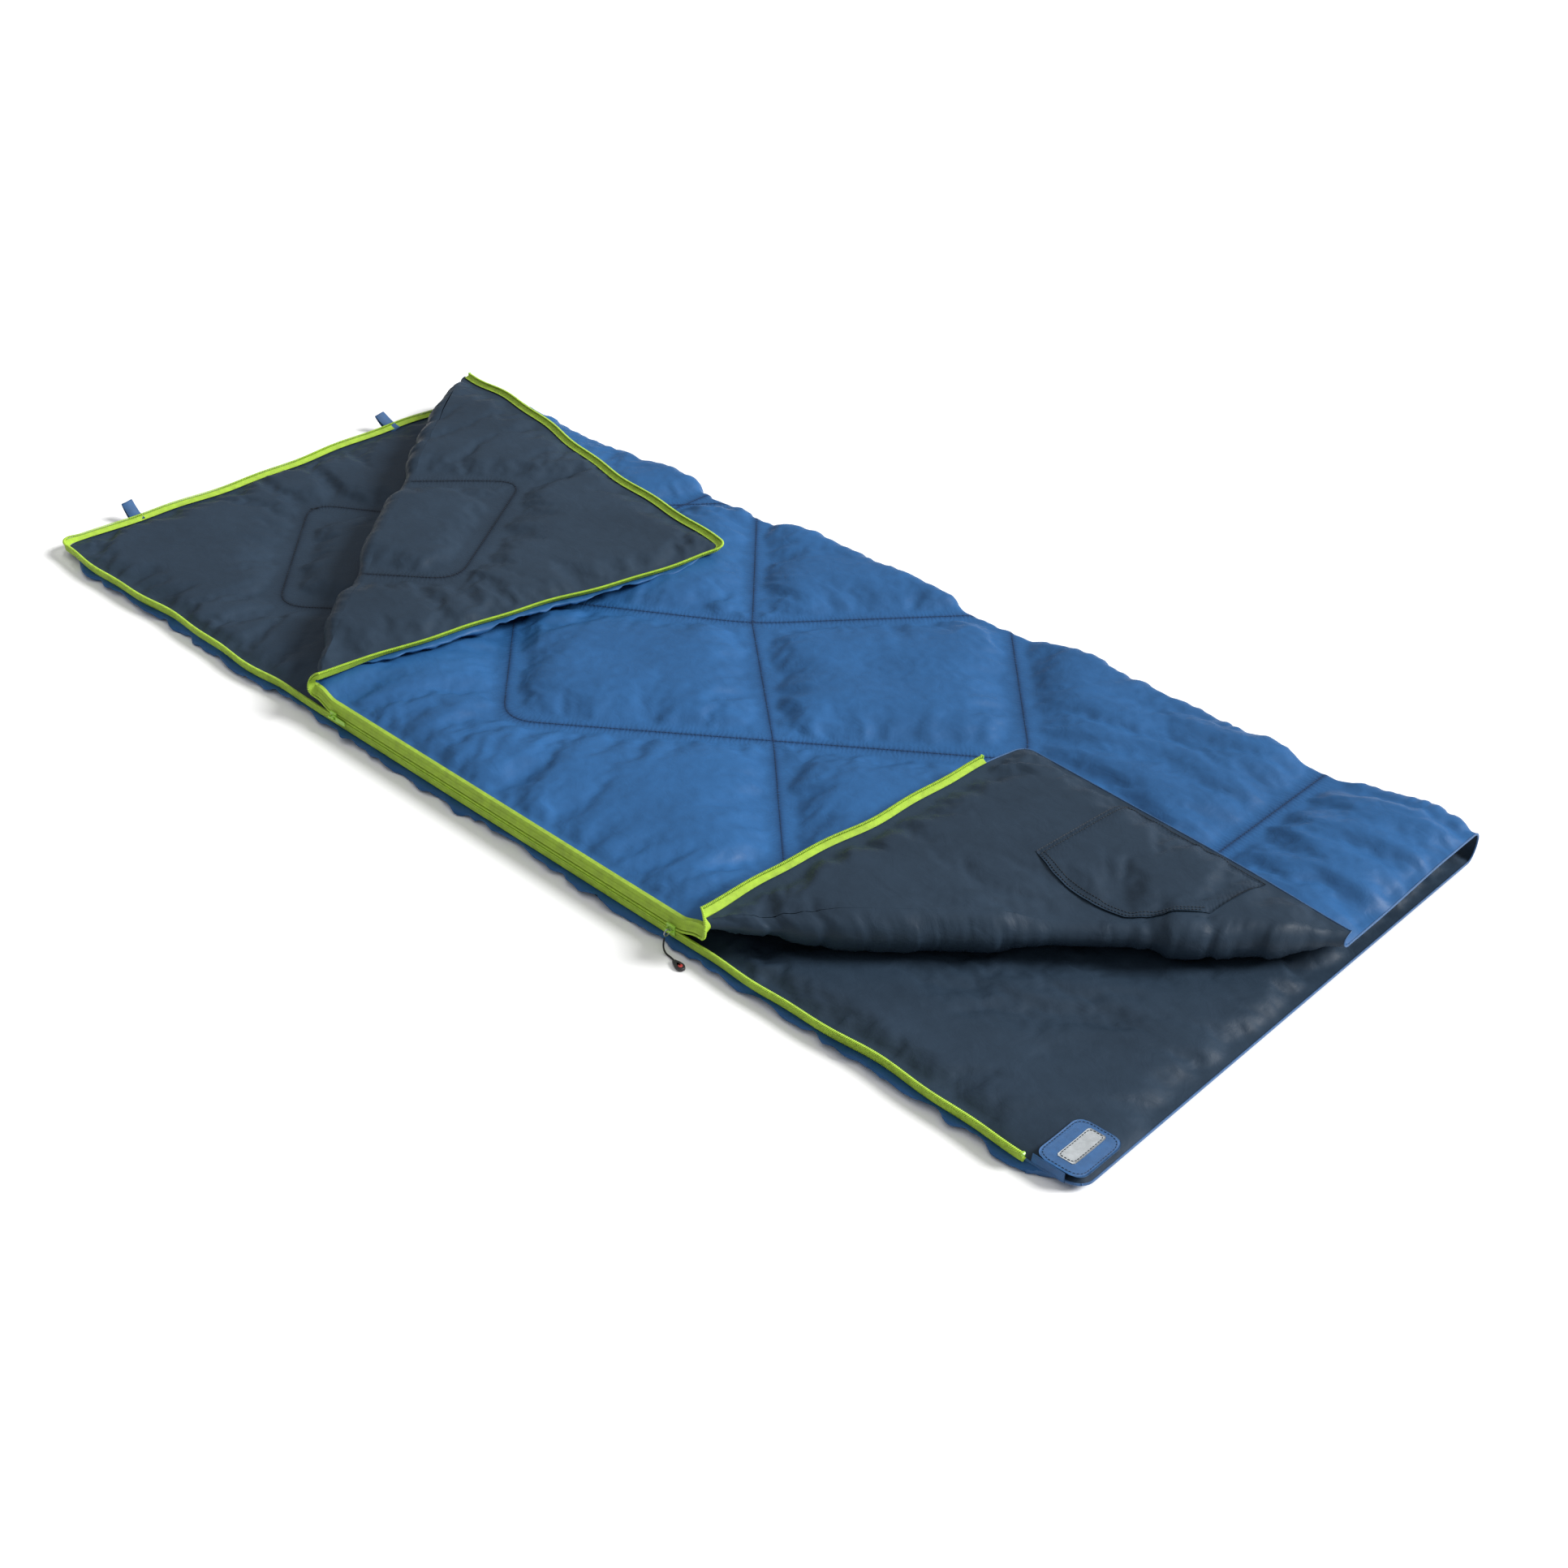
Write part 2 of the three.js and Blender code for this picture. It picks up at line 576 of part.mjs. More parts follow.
// The cord runs from the ring down to the ground and along it to the grip.
const CORD_RADIUS = 1.1;
const CORD_ROUTE = [
  [0, -18.9, 17.2], [0.3, -19.9, 14.6], [0.9, -21.2, 11.8], [1.7, -22.2, 9.4], [2.8, -23, 7.1],
  [4.3, -23.6, 4.9], [6.3, -24, 3], [8.6, -24.1, 1.8], [11, -24.1, 1.4], [13.4, -24.2, 1.4],
  [15.8, -24.5, 1.4], [18.2, -25, 1.5], [20.6, -25.6, 1.8], [23, -26.3, 2.2],
];
const GRIP_LENGTH = 20;

function addHeadCord(group, x) {
  const points = CORD_ROUTE.map(([dx, dy, z]) => new THREE.Vector3(x + dx, -HALF_W + dy, z));
  const route = new THREE.CatmullRomCurve3(points);
  const section = new THREE.Shape();
  section.absarc(0, 0, CORD_RADIUS, 0, 2 * Math.PI, false);
  const options = { steps: 16, extrudePath: route, curveSegments: 4, bevelEnabled: false };
  add(group, 'pull_cord', new THREE.ExtrudeGeometry(section, options), blackCord);
}

// A teardrop grip, lying on the ground in line with the end of the cord.
function addGrip(group, x) {
  const [dx, dy, z] = CORD_ROUTE[CORD_ROUTE.length - 1];
  const profile = [
    [0, 0], [1.5, 0], [1.9, 3], [2.6, 7], [3.9, 12], [4.5, 16], [3.6, 19], [1.5, GRIP_LENGTH],
    [0, GRIP_LENGTH],
  ].map(([r, along]) => new THREE.Vector2(r, along));
  const grip = new THREE.LatheGeometry(profile, 14);
  grip.scale(1, 1, 0.5);
  const place = new THREE.Group();
  place.position.set(x + dx + 0.5, -HALF_W + dy - 0.15, z + 0.15);
  place.rotation.set(0, 0, -Math.PI / 2 - 0.28);
  group.add(place);
  add(place, 'pull_grip', grip, blackPlastic);
  const inset = new THREE.CylinderGeometry(1.6, 1.6, 0.4, 14);
  inset.rotateX(Math.PI / 2).translate(0, 14.5, 2.75);
  add(place, 'pull_grip_inset', inset, redInset);
}

// ---- the bag ----

const bag = new THREE.Group();
addBottomPanel(bag);
addSideFold(bag);
addTopPanel(bag);
addCrease(bag, 'foot', footCreaseNear, footCreaseFar, 24, 30);
addCrease(bag, 'head', headCreaseNear, headCreaseFar, 28, 28);
addBottomZip(bag);
addTopZip(bag);
addLoop(bag, 'hanging_loop_far', FAR_LOOP_Y);
addLoop(bag, 'hanging_loop_near', NEAR_LOOP_Y);
addTabAnchor(bag);
addFootFlap(bag);
addHeadFlap(bag);
addSlider(bag, 'foot_slider', FOOT_SLIDER_X);
addFootPull(bag, FOOT_SLIDER_X);
addSlider(bag, 'head_slider', HEAD_SLIDER_X);
addHeadRing(bag, HEAD_SLIDER_X);
addHeadCord(bag, HEAD_SLIDER_X);
addGrip(bag, HEAD_SLIDER_X);
addCornerTab(bag);

// The origin is on the ground, midway between the loops and the head edge, and midway between the
// pull ring and the far side.
const ringReach = BAIL_BAR + BAIL_THICK / 2 + RING_DROP * Math.cos(RING_TILT) + RING_RADIUS + WIRE_RADIUS;
bag.position.set(LOOP_REACH / 2, ringReach / 2, 0);

const group = new THREE.Group();
group.add(bag);

export default group;
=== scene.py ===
"""Looks of the rectangular sleeping bag. One quilt sheet is simulated flat as cloth, and its relief is laid
over the two layers, the turned side, the creases and the folded corners. All sizes are metres, in the row
frame: +X from foot to head, +Y from the zip to the folded side."""

import json
import math

import bmesh
import bpy
import numpy as np
from mathutils import Matrix, Vector


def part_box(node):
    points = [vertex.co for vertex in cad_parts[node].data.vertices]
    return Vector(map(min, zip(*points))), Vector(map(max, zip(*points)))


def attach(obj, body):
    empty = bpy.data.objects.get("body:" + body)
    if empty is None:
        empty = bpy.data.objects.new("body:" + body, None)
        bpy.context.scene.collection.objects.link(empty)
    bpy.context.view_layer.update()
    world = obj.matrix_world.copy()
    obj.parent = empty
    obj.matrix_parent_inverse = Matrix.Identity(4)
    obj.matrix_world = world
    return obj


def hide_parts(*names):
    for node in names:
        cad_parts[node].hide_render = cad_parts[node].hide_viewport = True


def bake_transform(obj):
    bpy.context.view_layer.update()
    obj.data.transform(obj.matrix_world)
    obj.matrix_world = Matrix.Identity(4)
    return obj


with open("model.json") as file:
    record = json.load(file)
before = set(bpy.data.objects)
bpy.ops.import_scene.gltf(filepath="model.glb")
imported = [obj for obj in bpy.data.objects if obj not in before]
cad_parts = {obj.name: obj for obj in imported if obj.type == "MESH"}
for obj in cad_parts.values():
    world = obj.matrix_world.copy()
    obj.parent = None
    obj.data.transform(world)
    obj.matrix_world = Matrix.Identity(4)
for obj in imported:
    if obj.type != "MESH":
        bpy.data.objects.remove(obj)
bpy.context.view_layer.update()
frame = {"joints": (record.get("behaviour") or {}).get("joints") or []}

# ---- places and sizes from the frame ----

FOOT_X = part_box("bottom_shell")[0].x
HEAD_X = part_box("bottom_shell")[1].x
NEAR_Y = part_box("bottom_shell")[0].y
SIDE_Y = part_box("side_fold_fill")[0].y
BOTTOM_MID = (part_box("bottom_shell")[0].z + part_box("bottom_lining")[1].z) / 2
TOP_MID = (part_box("top_lining")[0].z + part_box("top_shell")[1].z) / 2
SIDE_Z = (BOTTOM_MID + TOP_MID) / 2
SIDE_RADIUS = (TOP_MID - BOTTOM_MID) / 2
HALF_LOFT = BOTTOM_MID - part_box("bottom_shell")[0].z
JOINTS = {joint["name"]: joint for joint in frame["joints"]}
HINGE_Z = JOINTS["foot_flap_fold"]["pos_m"][2]
CREASE_RADIUS = HINGE_Z - TOP_MID
ZIP_HEAD_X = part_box("zip_tape_bottom")[1].x
ZIP_FOOT_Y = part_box("zip_tape_bottom")[1].y
CORNER = 0.018

# the sheet runs in w from the lower near edge, round the far side, to the upper near edge
LAYER_WIDTH = SIDE_Y - NEAR_Y
SIDE_ARC = math.pi * SIDE_RADIUS
TOP_START = LAYER_WIDTH + SIDE_ARC
SHEET_WIDTH = TOP_START + LAYER_WIDTH


class Crease:
    """A crease of the upper layer: its near end, its run to the far end, and the side it bulges to."""

    def __init__(self, joint_name, end_x):
        joint = JOINTS[joint_name]
        axis = np.array(joint["axis"][:2])
        self.near = np.array(joint["pos_m"][:2])
        self.run = axis if axis[1] > 0 else -axis
        self.side = np.array([axis[1], -axis[0]])
        self.length = (end_x - self.near[0]) / self.run[0]
        self.end_x = end_x

    def across(self, xy):
        """How far points lie past the crease, towards the unfolded corner."""
        return (xy - self.near) @ self.side

    def fold_back(self, points):
        """Turns points of the unfolded corner by half a turn about the crease, to where they rest."""
        origin = np.array([*self.near, HINGE_Z])
        axis = np.array([*self.run, 0.0])
        arm = points - origin
        return origin + 2 * (arm @ axis)[:, None] * axis - arm


FOOT = Crease("foot_flap_fold", FOOT_X)
HEAD = Crease("head_flap_fold", HEAD_X)

# ---- camera ----

LENS = 47.24
AIM = Vector((0.258, -0.068, 0.0))
DISTANCE = 2.617
AZIMUTH = math.radians(42.83)
ELEVATION = math.radians(33.8)
ROLL = math.radians(1.453)


def add_camera():
    back = Vector((
        math.sin(AZIMUTH) * math.cos(ELEVATION),
        -math.cos(AZIMUTH) * math.cos(ELEVATION),
        math.sin(ELEVATION),
    ))
    level = Vector((math.cos(AZIMUTH), math.sin(AZIMUTH), 0))
    upright = back.cross(level)
    right = level * math.cos(ROLL) + upright * math.sin(ROLL)
    up = upright * math.cos(ROLL) - level * math.sin(ROLL)
    data = bpy.data.cameras.new("camera")
    data.lens = LENS
    data.sensor_width = 36
    camera = bpy.data.objects.new("camera", data)
    turned = Matrix((right, up, back)).transposed().to_4x4()
    camera.matrix_world = Matrix.Translation(AIM + back * DISTANCE) @ turned
    bpy.context.scene.collection.objects.link(camera)
    bpy.context.scene.camera = camera


add_camera()

# ---- mesh helpers ----


def new_object(name, points, faces, material=None, smooth=True):
    mesh = bpy.data.meshes.new(name)
    mesh.from_pydata(np.asarray(points, float).tolist(), [], [list(map(int, f)) for f in faces])
    mesh.update()
    piece = bpy.data.objects.new(name, mesh)
    bpy.context.scene.collection.objects.link(piece)
    if material is not None:
        mesh.materials.append(material)
    if smooth:
        mesh.polygons.foreach_set("use_smooth", [True] * len(mesh.polygons))
    return piece


def note_stitching(piece, sheet):
    """Stores how far along and how far from a seam each point is, for the cloth's material."""
    distance, _, along = seam_field(sheet)
    store_stitching(piece, along, distance)


def store_stitching(piece, along, distance):
    values = np.stack([along, distance, np.zeros_like(along)], axis=1)
    piece.data.attributes.new("stitching", "FLOAT_VECTOR", "POINT").data.foreach_set("vector", values.ravel())


def settle(piece, body, slot, *nodes):
    """Says which body a piece rides on and which CAD nodes it stands for. The slot argument is not used."""
    if body:
        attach(piece, body)
    if nodes:
        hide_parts(*nodes)
    return piece


def grid_faces(rows, columns, closed=False):
    index = np.arange(rows * columns).reshape(rows, columns)
    if closed:
        index = np.concatenate([index, index[:, :1]], axis=1)
    quads = [index[:-1, :-1], index[1:, :-1], index[1:, 1:], index[:-1, 1:]]
    return np.stack(quads, -1).reshape(-1, 4)


def sweep(sections):
    """Points and faces of a closed tube through sections, an array of shape (stations, corners, 3)."""
    stations, corners = sections.shape[:2]
    faces = [tuple(f) for f in grid_faces(stations, corners, closed=True)]
    faces.append(tuple(range(corners))[::-1])
    faces.append(tuple(range((stations - 1) * corners, stations * corners)))
    return sections.reshape(-1, 3), faces


def blocks(centres, axes, sizes):
    """Points and faces of many small six-sided blocks with sloped ends, for stitches and coil turns."""
    unit = np.array([
        (along, side * wide, top * wide)
        for along, wide in ((-1, 0.55), (-0.45, 1), (0.45, 1), (1, 0.55))
        for side, top in ((-1, -1), (1, -1), (1, 1), (-1, 1))
    ])
    one = [(3, 2, 1, 0), (12, 13, 14, 15)]
    for ring in range(3):
        for k in range(4):
            a = ring * 4 + k
            b = ring * 4 + (k + 1) % 4
            one.append((a, b, b + 4, a + 4))
    scaled = unit * (np.asarray(sizes) / 2)
    points = centres[:, None, :] + np.einsum("kc,ncd->nkd", scaled, axes)
    offsets = np.arange(len(centres))[:, None, None] * len(unit)
    quads = np.array(one)[None] + offsets
    return points.reshape(-1, 3), quads.reshape(-1, 4)


def unit_vectors(v):
    return v / np.maximum(np.linalg.norm(v, axis=-1, keepdims=True), 1e-12)


def smooth_step(t):
    t = np.clip(t, 0, 1)
    return t * t * (3 - 2 * t)


def spaced(path, step):
    """The path again, with points a step apart. Columns past the third are carried along."""
    along = np.concatenate([[0], np.cumsum(np.linalg.norm(np.diff(path[:, :3], axis=0), axis=1))])
    at = np.linspace(0, along[-1], max(2, round(along[-1] / step) + 1))
    return np.stack([np.interp(at, along, path[:, k]) for k in range(path.shape[1])], axis=1)


def stitches(name, paths, normals, material, length=0.0028, gap=0.0014, thick=0.0007):
    """A run of short thread stitches along paths that lie on a surface with these normals."""
    centres = []
    axes = []
    for path, normal in zip(paths, normals, strict=True):
        both = spaced(np.concatenate([path, normal], axis=1), length + gap)
        middle = (both[1:, :3] + both[:-1, :3]) / 2
        along = unit_vectors(both[1:, :3] - both[:-1, :3])
        up = unit_vectors(both[1:, 3:])
        aside = unit_vectors(np.cross(up, along))
        centres.append(middle + up * thick * 0.15)
        axes.append(np.stack([along, aside, np.cross(along, aside)], axis=1))
    points, faces = blocks(np.concatenate(centres), np.concatenate(axes), (length, thick, thick))
    return new_object(name, points, faces, material)


# ---- materials ----

GATHER_REACH = 0.009
GATHER_PERIOD = 0.0065
SEAM_SHADOW_REACH = 0.0036
SEAM_SHADOW = (0.3, 0.32, 0.38, 1)
THREAD_SCALE = 420


class Nodes:
    """Builds a node material: each call adds one node and links what it is given."""

    def __init__(self, name):
        self.material = bpy.data.materials.new(name)
        self.material.use_nodes = True
        self.tree = self.material.node_tree
        self.surface = self.tree.nodes["Principled BSDF"]
        self.place = self.add("ShaderNodeTexCoord").outputs["Object"]

    def add(self, kind, **settings):
        node = self.tree.nodes.new(kind)
        for key, value in settings.items():
            setattr(node, key, value)
        return node

    def link(self, source, target):
        self.tree.links.new(source, target)

    def scaled(self, scale, turn=0.0):
        node = self.add("ShaderNodeMapping")
        node.inputs["Scale"].default_value = scale
        node.inputs["Rotation"].default_value = (0, 0, turn)
        self.link(self.place, node.inputs["Vector"])
        return node.outputs["Vector"]

    def noise(self, vector, scale, detail=2.0, roughness=0.5, distortion=0.0):
        node = self.add("ShaderNodeTexNoise")
        node.inputs["Scale"].default_value = scale
        node.inputs["Detail"].default_value = detail
        node.inputs["Roughness"].default_value = roughness
        node.inputs["Distortion"].default_value = distortion
        self.link(vector, node.inputs["Vector"])
        return node.outputs["Fac"]

    def wave(self, vector, scale, direction, distortion=0.0):
        node = self.add("ShaderNodeTexWave", bands_direction=direction, wave_type="BANDS")
        node.inputs["Scale"].default_value = scale
        node.inputs["Distortion"].default_value = distortion
        self.link(vector, node.inputs["Vector"])
        return node.outputs["Fac"]

    def math(self, operation, a, b):
        node = self.add("ShaderNodeMath", operation=operation)
        for socket, value in zip(node.inputs, (a, b)):
            if isinstance(value, (int, float)):
                socket.default_value = value
            else:
                self.link(value, socket)
        return node.outputs["Value"]

    def fading(self, distance, reach):
        """Falls off from 1 with distance."""
        return self.math("POWER", math.e, self.math("MULTIPLY", distance, -1 / reach))

    def blend(self, a, b, share):
        """Two values, the second with this share."""
        return self.math("ADD", self.math("MULTIPLY", a, 1 - share), self.math("MULTIPLY", b, share))

    def ramp(self, factor, *stops):
        node = self.add("ShaderNodeValToRGB")
        elements = node.color_ramp.elements
        while len(elements) < len(stops):
            elements.new(0.5)
        for element, (position, color) in zip(elements, stops, strict=True):
            element.position = position
            element.color = (*color, 1)
        self.link(factor, node.inputs["Fac"])
        return node.outputs["Color"]

    def bump(self, height, strength, distance, normal=None):
        node = self.add("ShaderNodeBump")
        node.inputs["Strength"].default_value = strength
        node.inputs["Distance"].default_value = distance
        self.link(height, node.inputs["Height"])
        if normal is not None:
            self.link(normal, node.inputs["Normal"])
        return node.outputs["Normal"]

    def finish(self, color=None, rough=None, normal=None, **fixed):
        if color is not None:
            self.link(color, self.surface.inputs["Base Color"])
        if rough is not None:
            self.link(rough, self.surface.inputs["Roughness"])
        if normal is not None:
            self.link(normal, self.surface.inputs["Normal"])
        for key, value in fixed.items():
            self.surface.inputs[key.replace("_", " ")].default_value = value
        return self.material


def mixed(color, share):
    """A colour made lighter (share over 1) or darker."""
    return tuple(min(1.0, c * share) for c in color)


def taffeta(name, color, rough, crinkle, gloss):
    """Thin woven polyester: plain weave, soft crinkles, slow changes of tone, and gathers beside seams."""
    n = Nodes(name)
    tone = n.noise(n.place, 7, 3, 0.55)
    fine_tone = n.noise(n.place, 55, 3, 0.6)
    shade = n.ramp(
        n.blend(tone, fine_tone, 0.35), (0.3, mixed(color, 0.82)), (0.5, color), (0.72, mixed(color, 1.2)),
    )
    stitching = n.add("ShaderNodeAttribute", attribute_name="stitching").outputs["Vector"]
    split = n.add("ShaderNodeSeparateXYZ")
    n.link(stitching, split.inputs["Vector"])
    along, distance = split.outputs["X"], split.outputs["Y"]
    wobble = n.math("MULTIPLY", n.noise(n.place, 60, 2, 0.6), 14.0)
    turns = n.math("MULTIPLY", along, 2 * math.pi / GATHER_PERIOD)
    gathers = n.math("SINE", n.math("ADD", turns, wobble), 0.0)
    dark = n.add("ShaderNodeMix", data_type="RGBA", blend_type="MULTIPLY")
    n.link(n.fading(distance, SEAM_SHADOW_REACH), dark.inputs["Factor"])
    n.link(shade, dark.inputs["A"])
    dark.inputs["B"].default_value = SEAM_SHADOW
    threads = n.math("ADD", n.wave(n.place, THREAD_SCALE, "X", 0.4), n.wave(n.place, THREAD_SCALE, "Y", 0.4))
    crinkles = n.noise(n.scaled((1, 1.25, 1.6), 0.5), 30, 4, 0.5, 0.9)
    small = n.noise(n.place, 120, 3, 0.6, 0.4)
    normal = n.bump(crinkles, crinkle, 0.004)
    normal = n.bump(small, crinkle * 0.4, 0.0012, normal)
    normal = n.bump(n.math("MULTIPLY", gathers, n.fading(distance, GATHER_REACH)), 0.25, 0.001, normal)
    normal = n.bump(threads, 0.1, 0.0002, normal)
    roughness = n.math("ADD", n.math("MULTIPLY", fine_tone, 0.16), rough - 0.08)
    return n.finish(dark.outputs["Result"], roughness, normal, Specular_IOR_Level=gloss)


def woven(name, color, rough, scale, depth):
    """Coarser woven goods: zip tape, ribbon, patches."""
    n = Nodes(name)
    tone = n.noise(n.place, 90, 3, 0.6)
    shade = n.ramp(tone, (0.3, mixed(color, 0.82)), (0.55, color), (0.75, mixed(color, 1.15)))
    threads = n.math("ADD", n.wave(n.place, scale, "DIAGONAL", 0.6), n.wave(n.place, scale * 1.3, "X", 0.5))
    normal = n.bump(threads, 0.5, depth)
    normal = n.bump(n.noise(n.place, 260, 2, 0.6), 0.3, depth, normal)
    return n.finish(shade, n.math("ADD", n.math("MULTIPLY", tone, 0.15), rough - 0.07), normal)


def moulded(name, color, rough, metallic=0.0):
    """Moulded plastic or painted and plated metal, with blotchy tone and fine grain."""
    n = Nodes(name)
    grain = n.noise(n.place, 900, 2, 0.5)
    blotch = n.noise(n.place, 160, 3, 0.6)
    shade = n.ramp(blotch, (0.35, mixed(color, 0.86)), (0.65, mixed(color, 1.12)))
    roughness = n.math("ADD", n.math("MULTIPLY", grain, 0.14), rough - 0.07)
    return n.finish(shade, roughness, n.bump(grain, 0.15, 0.0002), Metallic=metallic)


BLUE = (0.019, 0.087, 0.225)
SLATE = (0.02, 0.035, 0.056)
LIME = (0.33, 0.51, 0.03)

cord_material = woven("black_braid", (0.012, 0.012, 0.013), 0.6, 1200, 0.0002)
grip_material = moulded("black_rubber", (0.016, 0.016, 0.018), 0.5)
inset_material = moulded("red_rubber", (0.42, 0.035, 0.03), 0.45)
shell_material = taffeta("shell_taffeta", BLUE, 0.5, 0.28, 0.2)
lining_material = taffeta("lining_taffeta", SLATE, 0.5, 0.28, 0.12)
tape_material = woven("lime_tape", LIME, 0.6, 700, 0.0003)
coil_material = moulded("lime_coil", (0.34, 0.53, 0.03), 0.45)
paint_material = moulded("lime_paint", (0.3, 0.56, 0.05), 0.3)
steel_material = moulded("zinc_steel", (0.4, 0.4, 0.4), 0.4, 1.0)
hook_material = woven("hook_tape", (0.035, 0.037, 0.04), 0.85, 900, 0.0006)
label_material = woven("grey_label", (0.42, 0.45, 0.47), 0.6, 1100, 0.0002)
tab_material = woven("blue_tab", (0.022, 0.1, 0.26), 0.5, 600, 0.0002)
ribbon_material = woven("blue_ribbon", BLUE, 0.5, 500, 0.0003)
thread_blue = woven("blue_thread", mixed(BLUE, 0.4), 0.6, 1500, 0.0001)
thread_dark = woven("dark_thread", mixed(SLATE, 0.5), 0.6, 1500, 0.0001)
thread_lime = woven("lime_thread", mixed(LIME, 0.85), 0.6, 1500, 0.0001)

# ---- pull cord and its grip ----

CORD_ROUTE = [
    (0.396, -0.40892, 0.0172), (0.3963, -0.40992, 0.0146), (0.3969, -0.41122, 0.0118),
    (0.3977, -0.41222, 0.0094), (0.3988, -0.41302, 0.0071), (0.4003, -0.41362, 0.0049),
    (0.4023, -0.41402, 0.003), (0.4046, -0.41412, 0.0018), (0.407, -0.41412, 0.0014),
    (0.4094, -0.41422, 0.0014), (0.4118, -0.41452, 0.0014), (0.4142, -0.41502, 0.0015),
    (0.4166, -0.41562, 0.0018), (0.419, -0.41632, 0.0022),
]
CORD_DIAMETER = 0.0022
CORD_STEP = 0.00035
CORD_CORNERS = 18
BRAID_PITCH = 0.0052
GRIP_LENGTH = 0.0206


def tube_sections(path, radius, corners):
    """Rings across a path, each a circle of its own radius, turned as little as can be."""
    path = np.asarray(path)
    along = unit_vectors(np.gradient(path, axis=0))
    side = unit_vectors(np.cross(along[0], [0.3, 0.2, 0.9]))
    rings = []
    for k, point in enumerate(path):
        side = unit_vectors(side - along[k] * (side @ along[k]))
        other = np.cross(along[k], side)
        turn = np.linspace(0, 2 * math.pi, corners, endpoint=False)
        size = np.broadcast_to(radius[k], corners)[:, None]
        circle = np.cos(turn)[:, None] * side + np.sin(turn)[:, None] * other
        rings.append(point + size * circle)
    return np.array(rings)


def add_cord():
    """The braided pull cord: three strands twisted round each other."""
    path = spaced(np.array(CORD_ROUTE), CORD_STEP)
    turn = np.linspace(0, 2 * math.pi, CORD_CORNERS, endpoint=False)
    twist = np.arange(len(path)) * CORD_STEP / BRAID_PITCH * 2 * math.pi
    strands = 0.9 + 0.1 * np.abs(np.cos(1.5 * (turn[None] - twist[:, None])))
    points, faces = sweep(tube_sections(path, CORD_DIAMETER / 2 * strands, CORD_CORNERS))
    cord = new_object("pull_cord_braid", points, faces, cord_material)
    settle(cord, "head_pull", "cord", "pull_cord")
    grip = add_grip()
    inset = add_grip_inset()


def grip_outline():
    """The teardrop of the grip in its own plane, from its neck (x = 0) to its round end (x = 1)."""
    turn = np.linspace(0, 2 * math.pi, 40, endpoint=False)
    x = 0.5 - 0.5 * np.cos(turn)
    fullness = np.sign(np.sin(turn)) * np.abs(np.sin(turn)) ** 0.7
    return np.stack([x, (0.17 + 0.11 * smooth_step(x / 0.75)) * fullness], axis=1)


def button_outline():
    """The round inset, near the grip's wide end."""
    turn = np.linspace(0, 2 * math.pi, 24, endpoint=False)
    return np.stack([0.7 + 0.13 * np.cos(turn), 0.13 * np.sin(turn)], axis=1)


def grip_plate(name, outline, rings, material, slot, node):
    """A rounded plate of the grip: its outline, drawn in by the second number at each height of rings."""
    low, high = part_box("pull_grip")
    neck = Vector((low.x, high.y - 0.0024, 0))
    long = (Vector((high.x, low.y + 0.0042, 0)) - neck).normalized()
    aside = Vector((-long.y, long.x, 0))
    centre = np.array([0.6, 0.0])
    sections = []
    for height, inset in rings:
        flat = (centre + (outline - centre) * inset) * GRIP_LENGTH
        ring = [neck + long * float(u) + aside * float(v) for u, v in flat]
        sections.append([(point.x, point.y, height) for point in ring])
    points, faces = sweep(np.array(sections))
    return settle(new_object(name, points, faces, material), "head_pull", slot, node)


def add_grip():
    rings = [
        (0.0002, 0.86), (0.0006, 0.95), (0.0014, 1.0), (0.0032, 1.0),
        (0.0041, 0.95), (0.0045, 0.86), (0.0043, 0.8), (0.0043, 0.4),
    ]
    return grip_plate("pull_grip_body", grip_outline(), rings, grip_material, "grip", "pull_grip")


def add_grip_inset():
    rings = [(0.0042, 1.0), (0.0048, 1.0), (0.005, 0.93), (0.005, 0.4)]
    outline = button_outline()
    return grip_plate("pull_grip_button", outline, rings, inset_material, "grip_inset", "pull_grip_inset")


add_cord()

# ---- quilting seams, in the plan of the closed bag ----


def rounded(corners, radius, closed=False):
    """A polyline with its inner corners rounded."""
    corners = np.array(corners, float)
    count = len(corners)
    points = []
    for i in range(count):
        if not closed and i in (0, count - 1):
            points.append(corners[i])
            continue
        before = unit_vectors(corners[i - 1] - corners[i])
        after = unit_vectors(corners[(i + 1) % count] - corners[i])
        for t in np.linspace(0, 1, 7):
            start = corners[i] + before * radius
            end = corners[i] + after * radius
            points.append((1 - t) ** 2 * start + 2 * t * (1 - t) * corners[i] + t * t * end)
    if closed:
        points.append(points[0])
    return np.array(points)


LOOP = [(-0.3, -0.035), (-0.06, -0.262), (0.48, 0.15), (0.222, 0.43), (-0.012, 0.15)]
FOOT_LOOP = [
    (-0.285, -0.026), (-0.557, -0.266), (-0.797, -0.039), (-0.509, 0.146), (-0.275, 0.43), (-0.012, 0.15),
]
DIAGONAL = [(-0.012, 0.15), (0.229, -0.057), (0.434, -0.252), (0.48, -0.29)]
HEAD_SEAM_X = 0.762
FOOT_SEAM_X = -0.347
ROUNDING = 0.045

loop_seam = rounded(LOOP, ROUNDING, closed=True)
foot_loop_seam = rounded(FOOT_LOOP, ROUNDING)
diagonal_seam = rounded(DIAGONAL, 0.02)
head_seam = np.array([(HEAD_SEAM_X, SIDE_Y + 0.03), (HEAD_SEAM_X, -0.085)])
foot_seam = np.array([(FOOT_SEAM_X, SIDE_Y + 0.03), (FOOT_SEAM_X, 0.2)])


def to_sheet(xy, upper):
    """Plan points of a layer as (x, w) on the sheet."""
    w = TOP_START + SIDE_Y - xy[:, 1] if upper else xy[:, 1] - NEAR_Y
    return np.stack([xy[:, 0], w], axis=1)


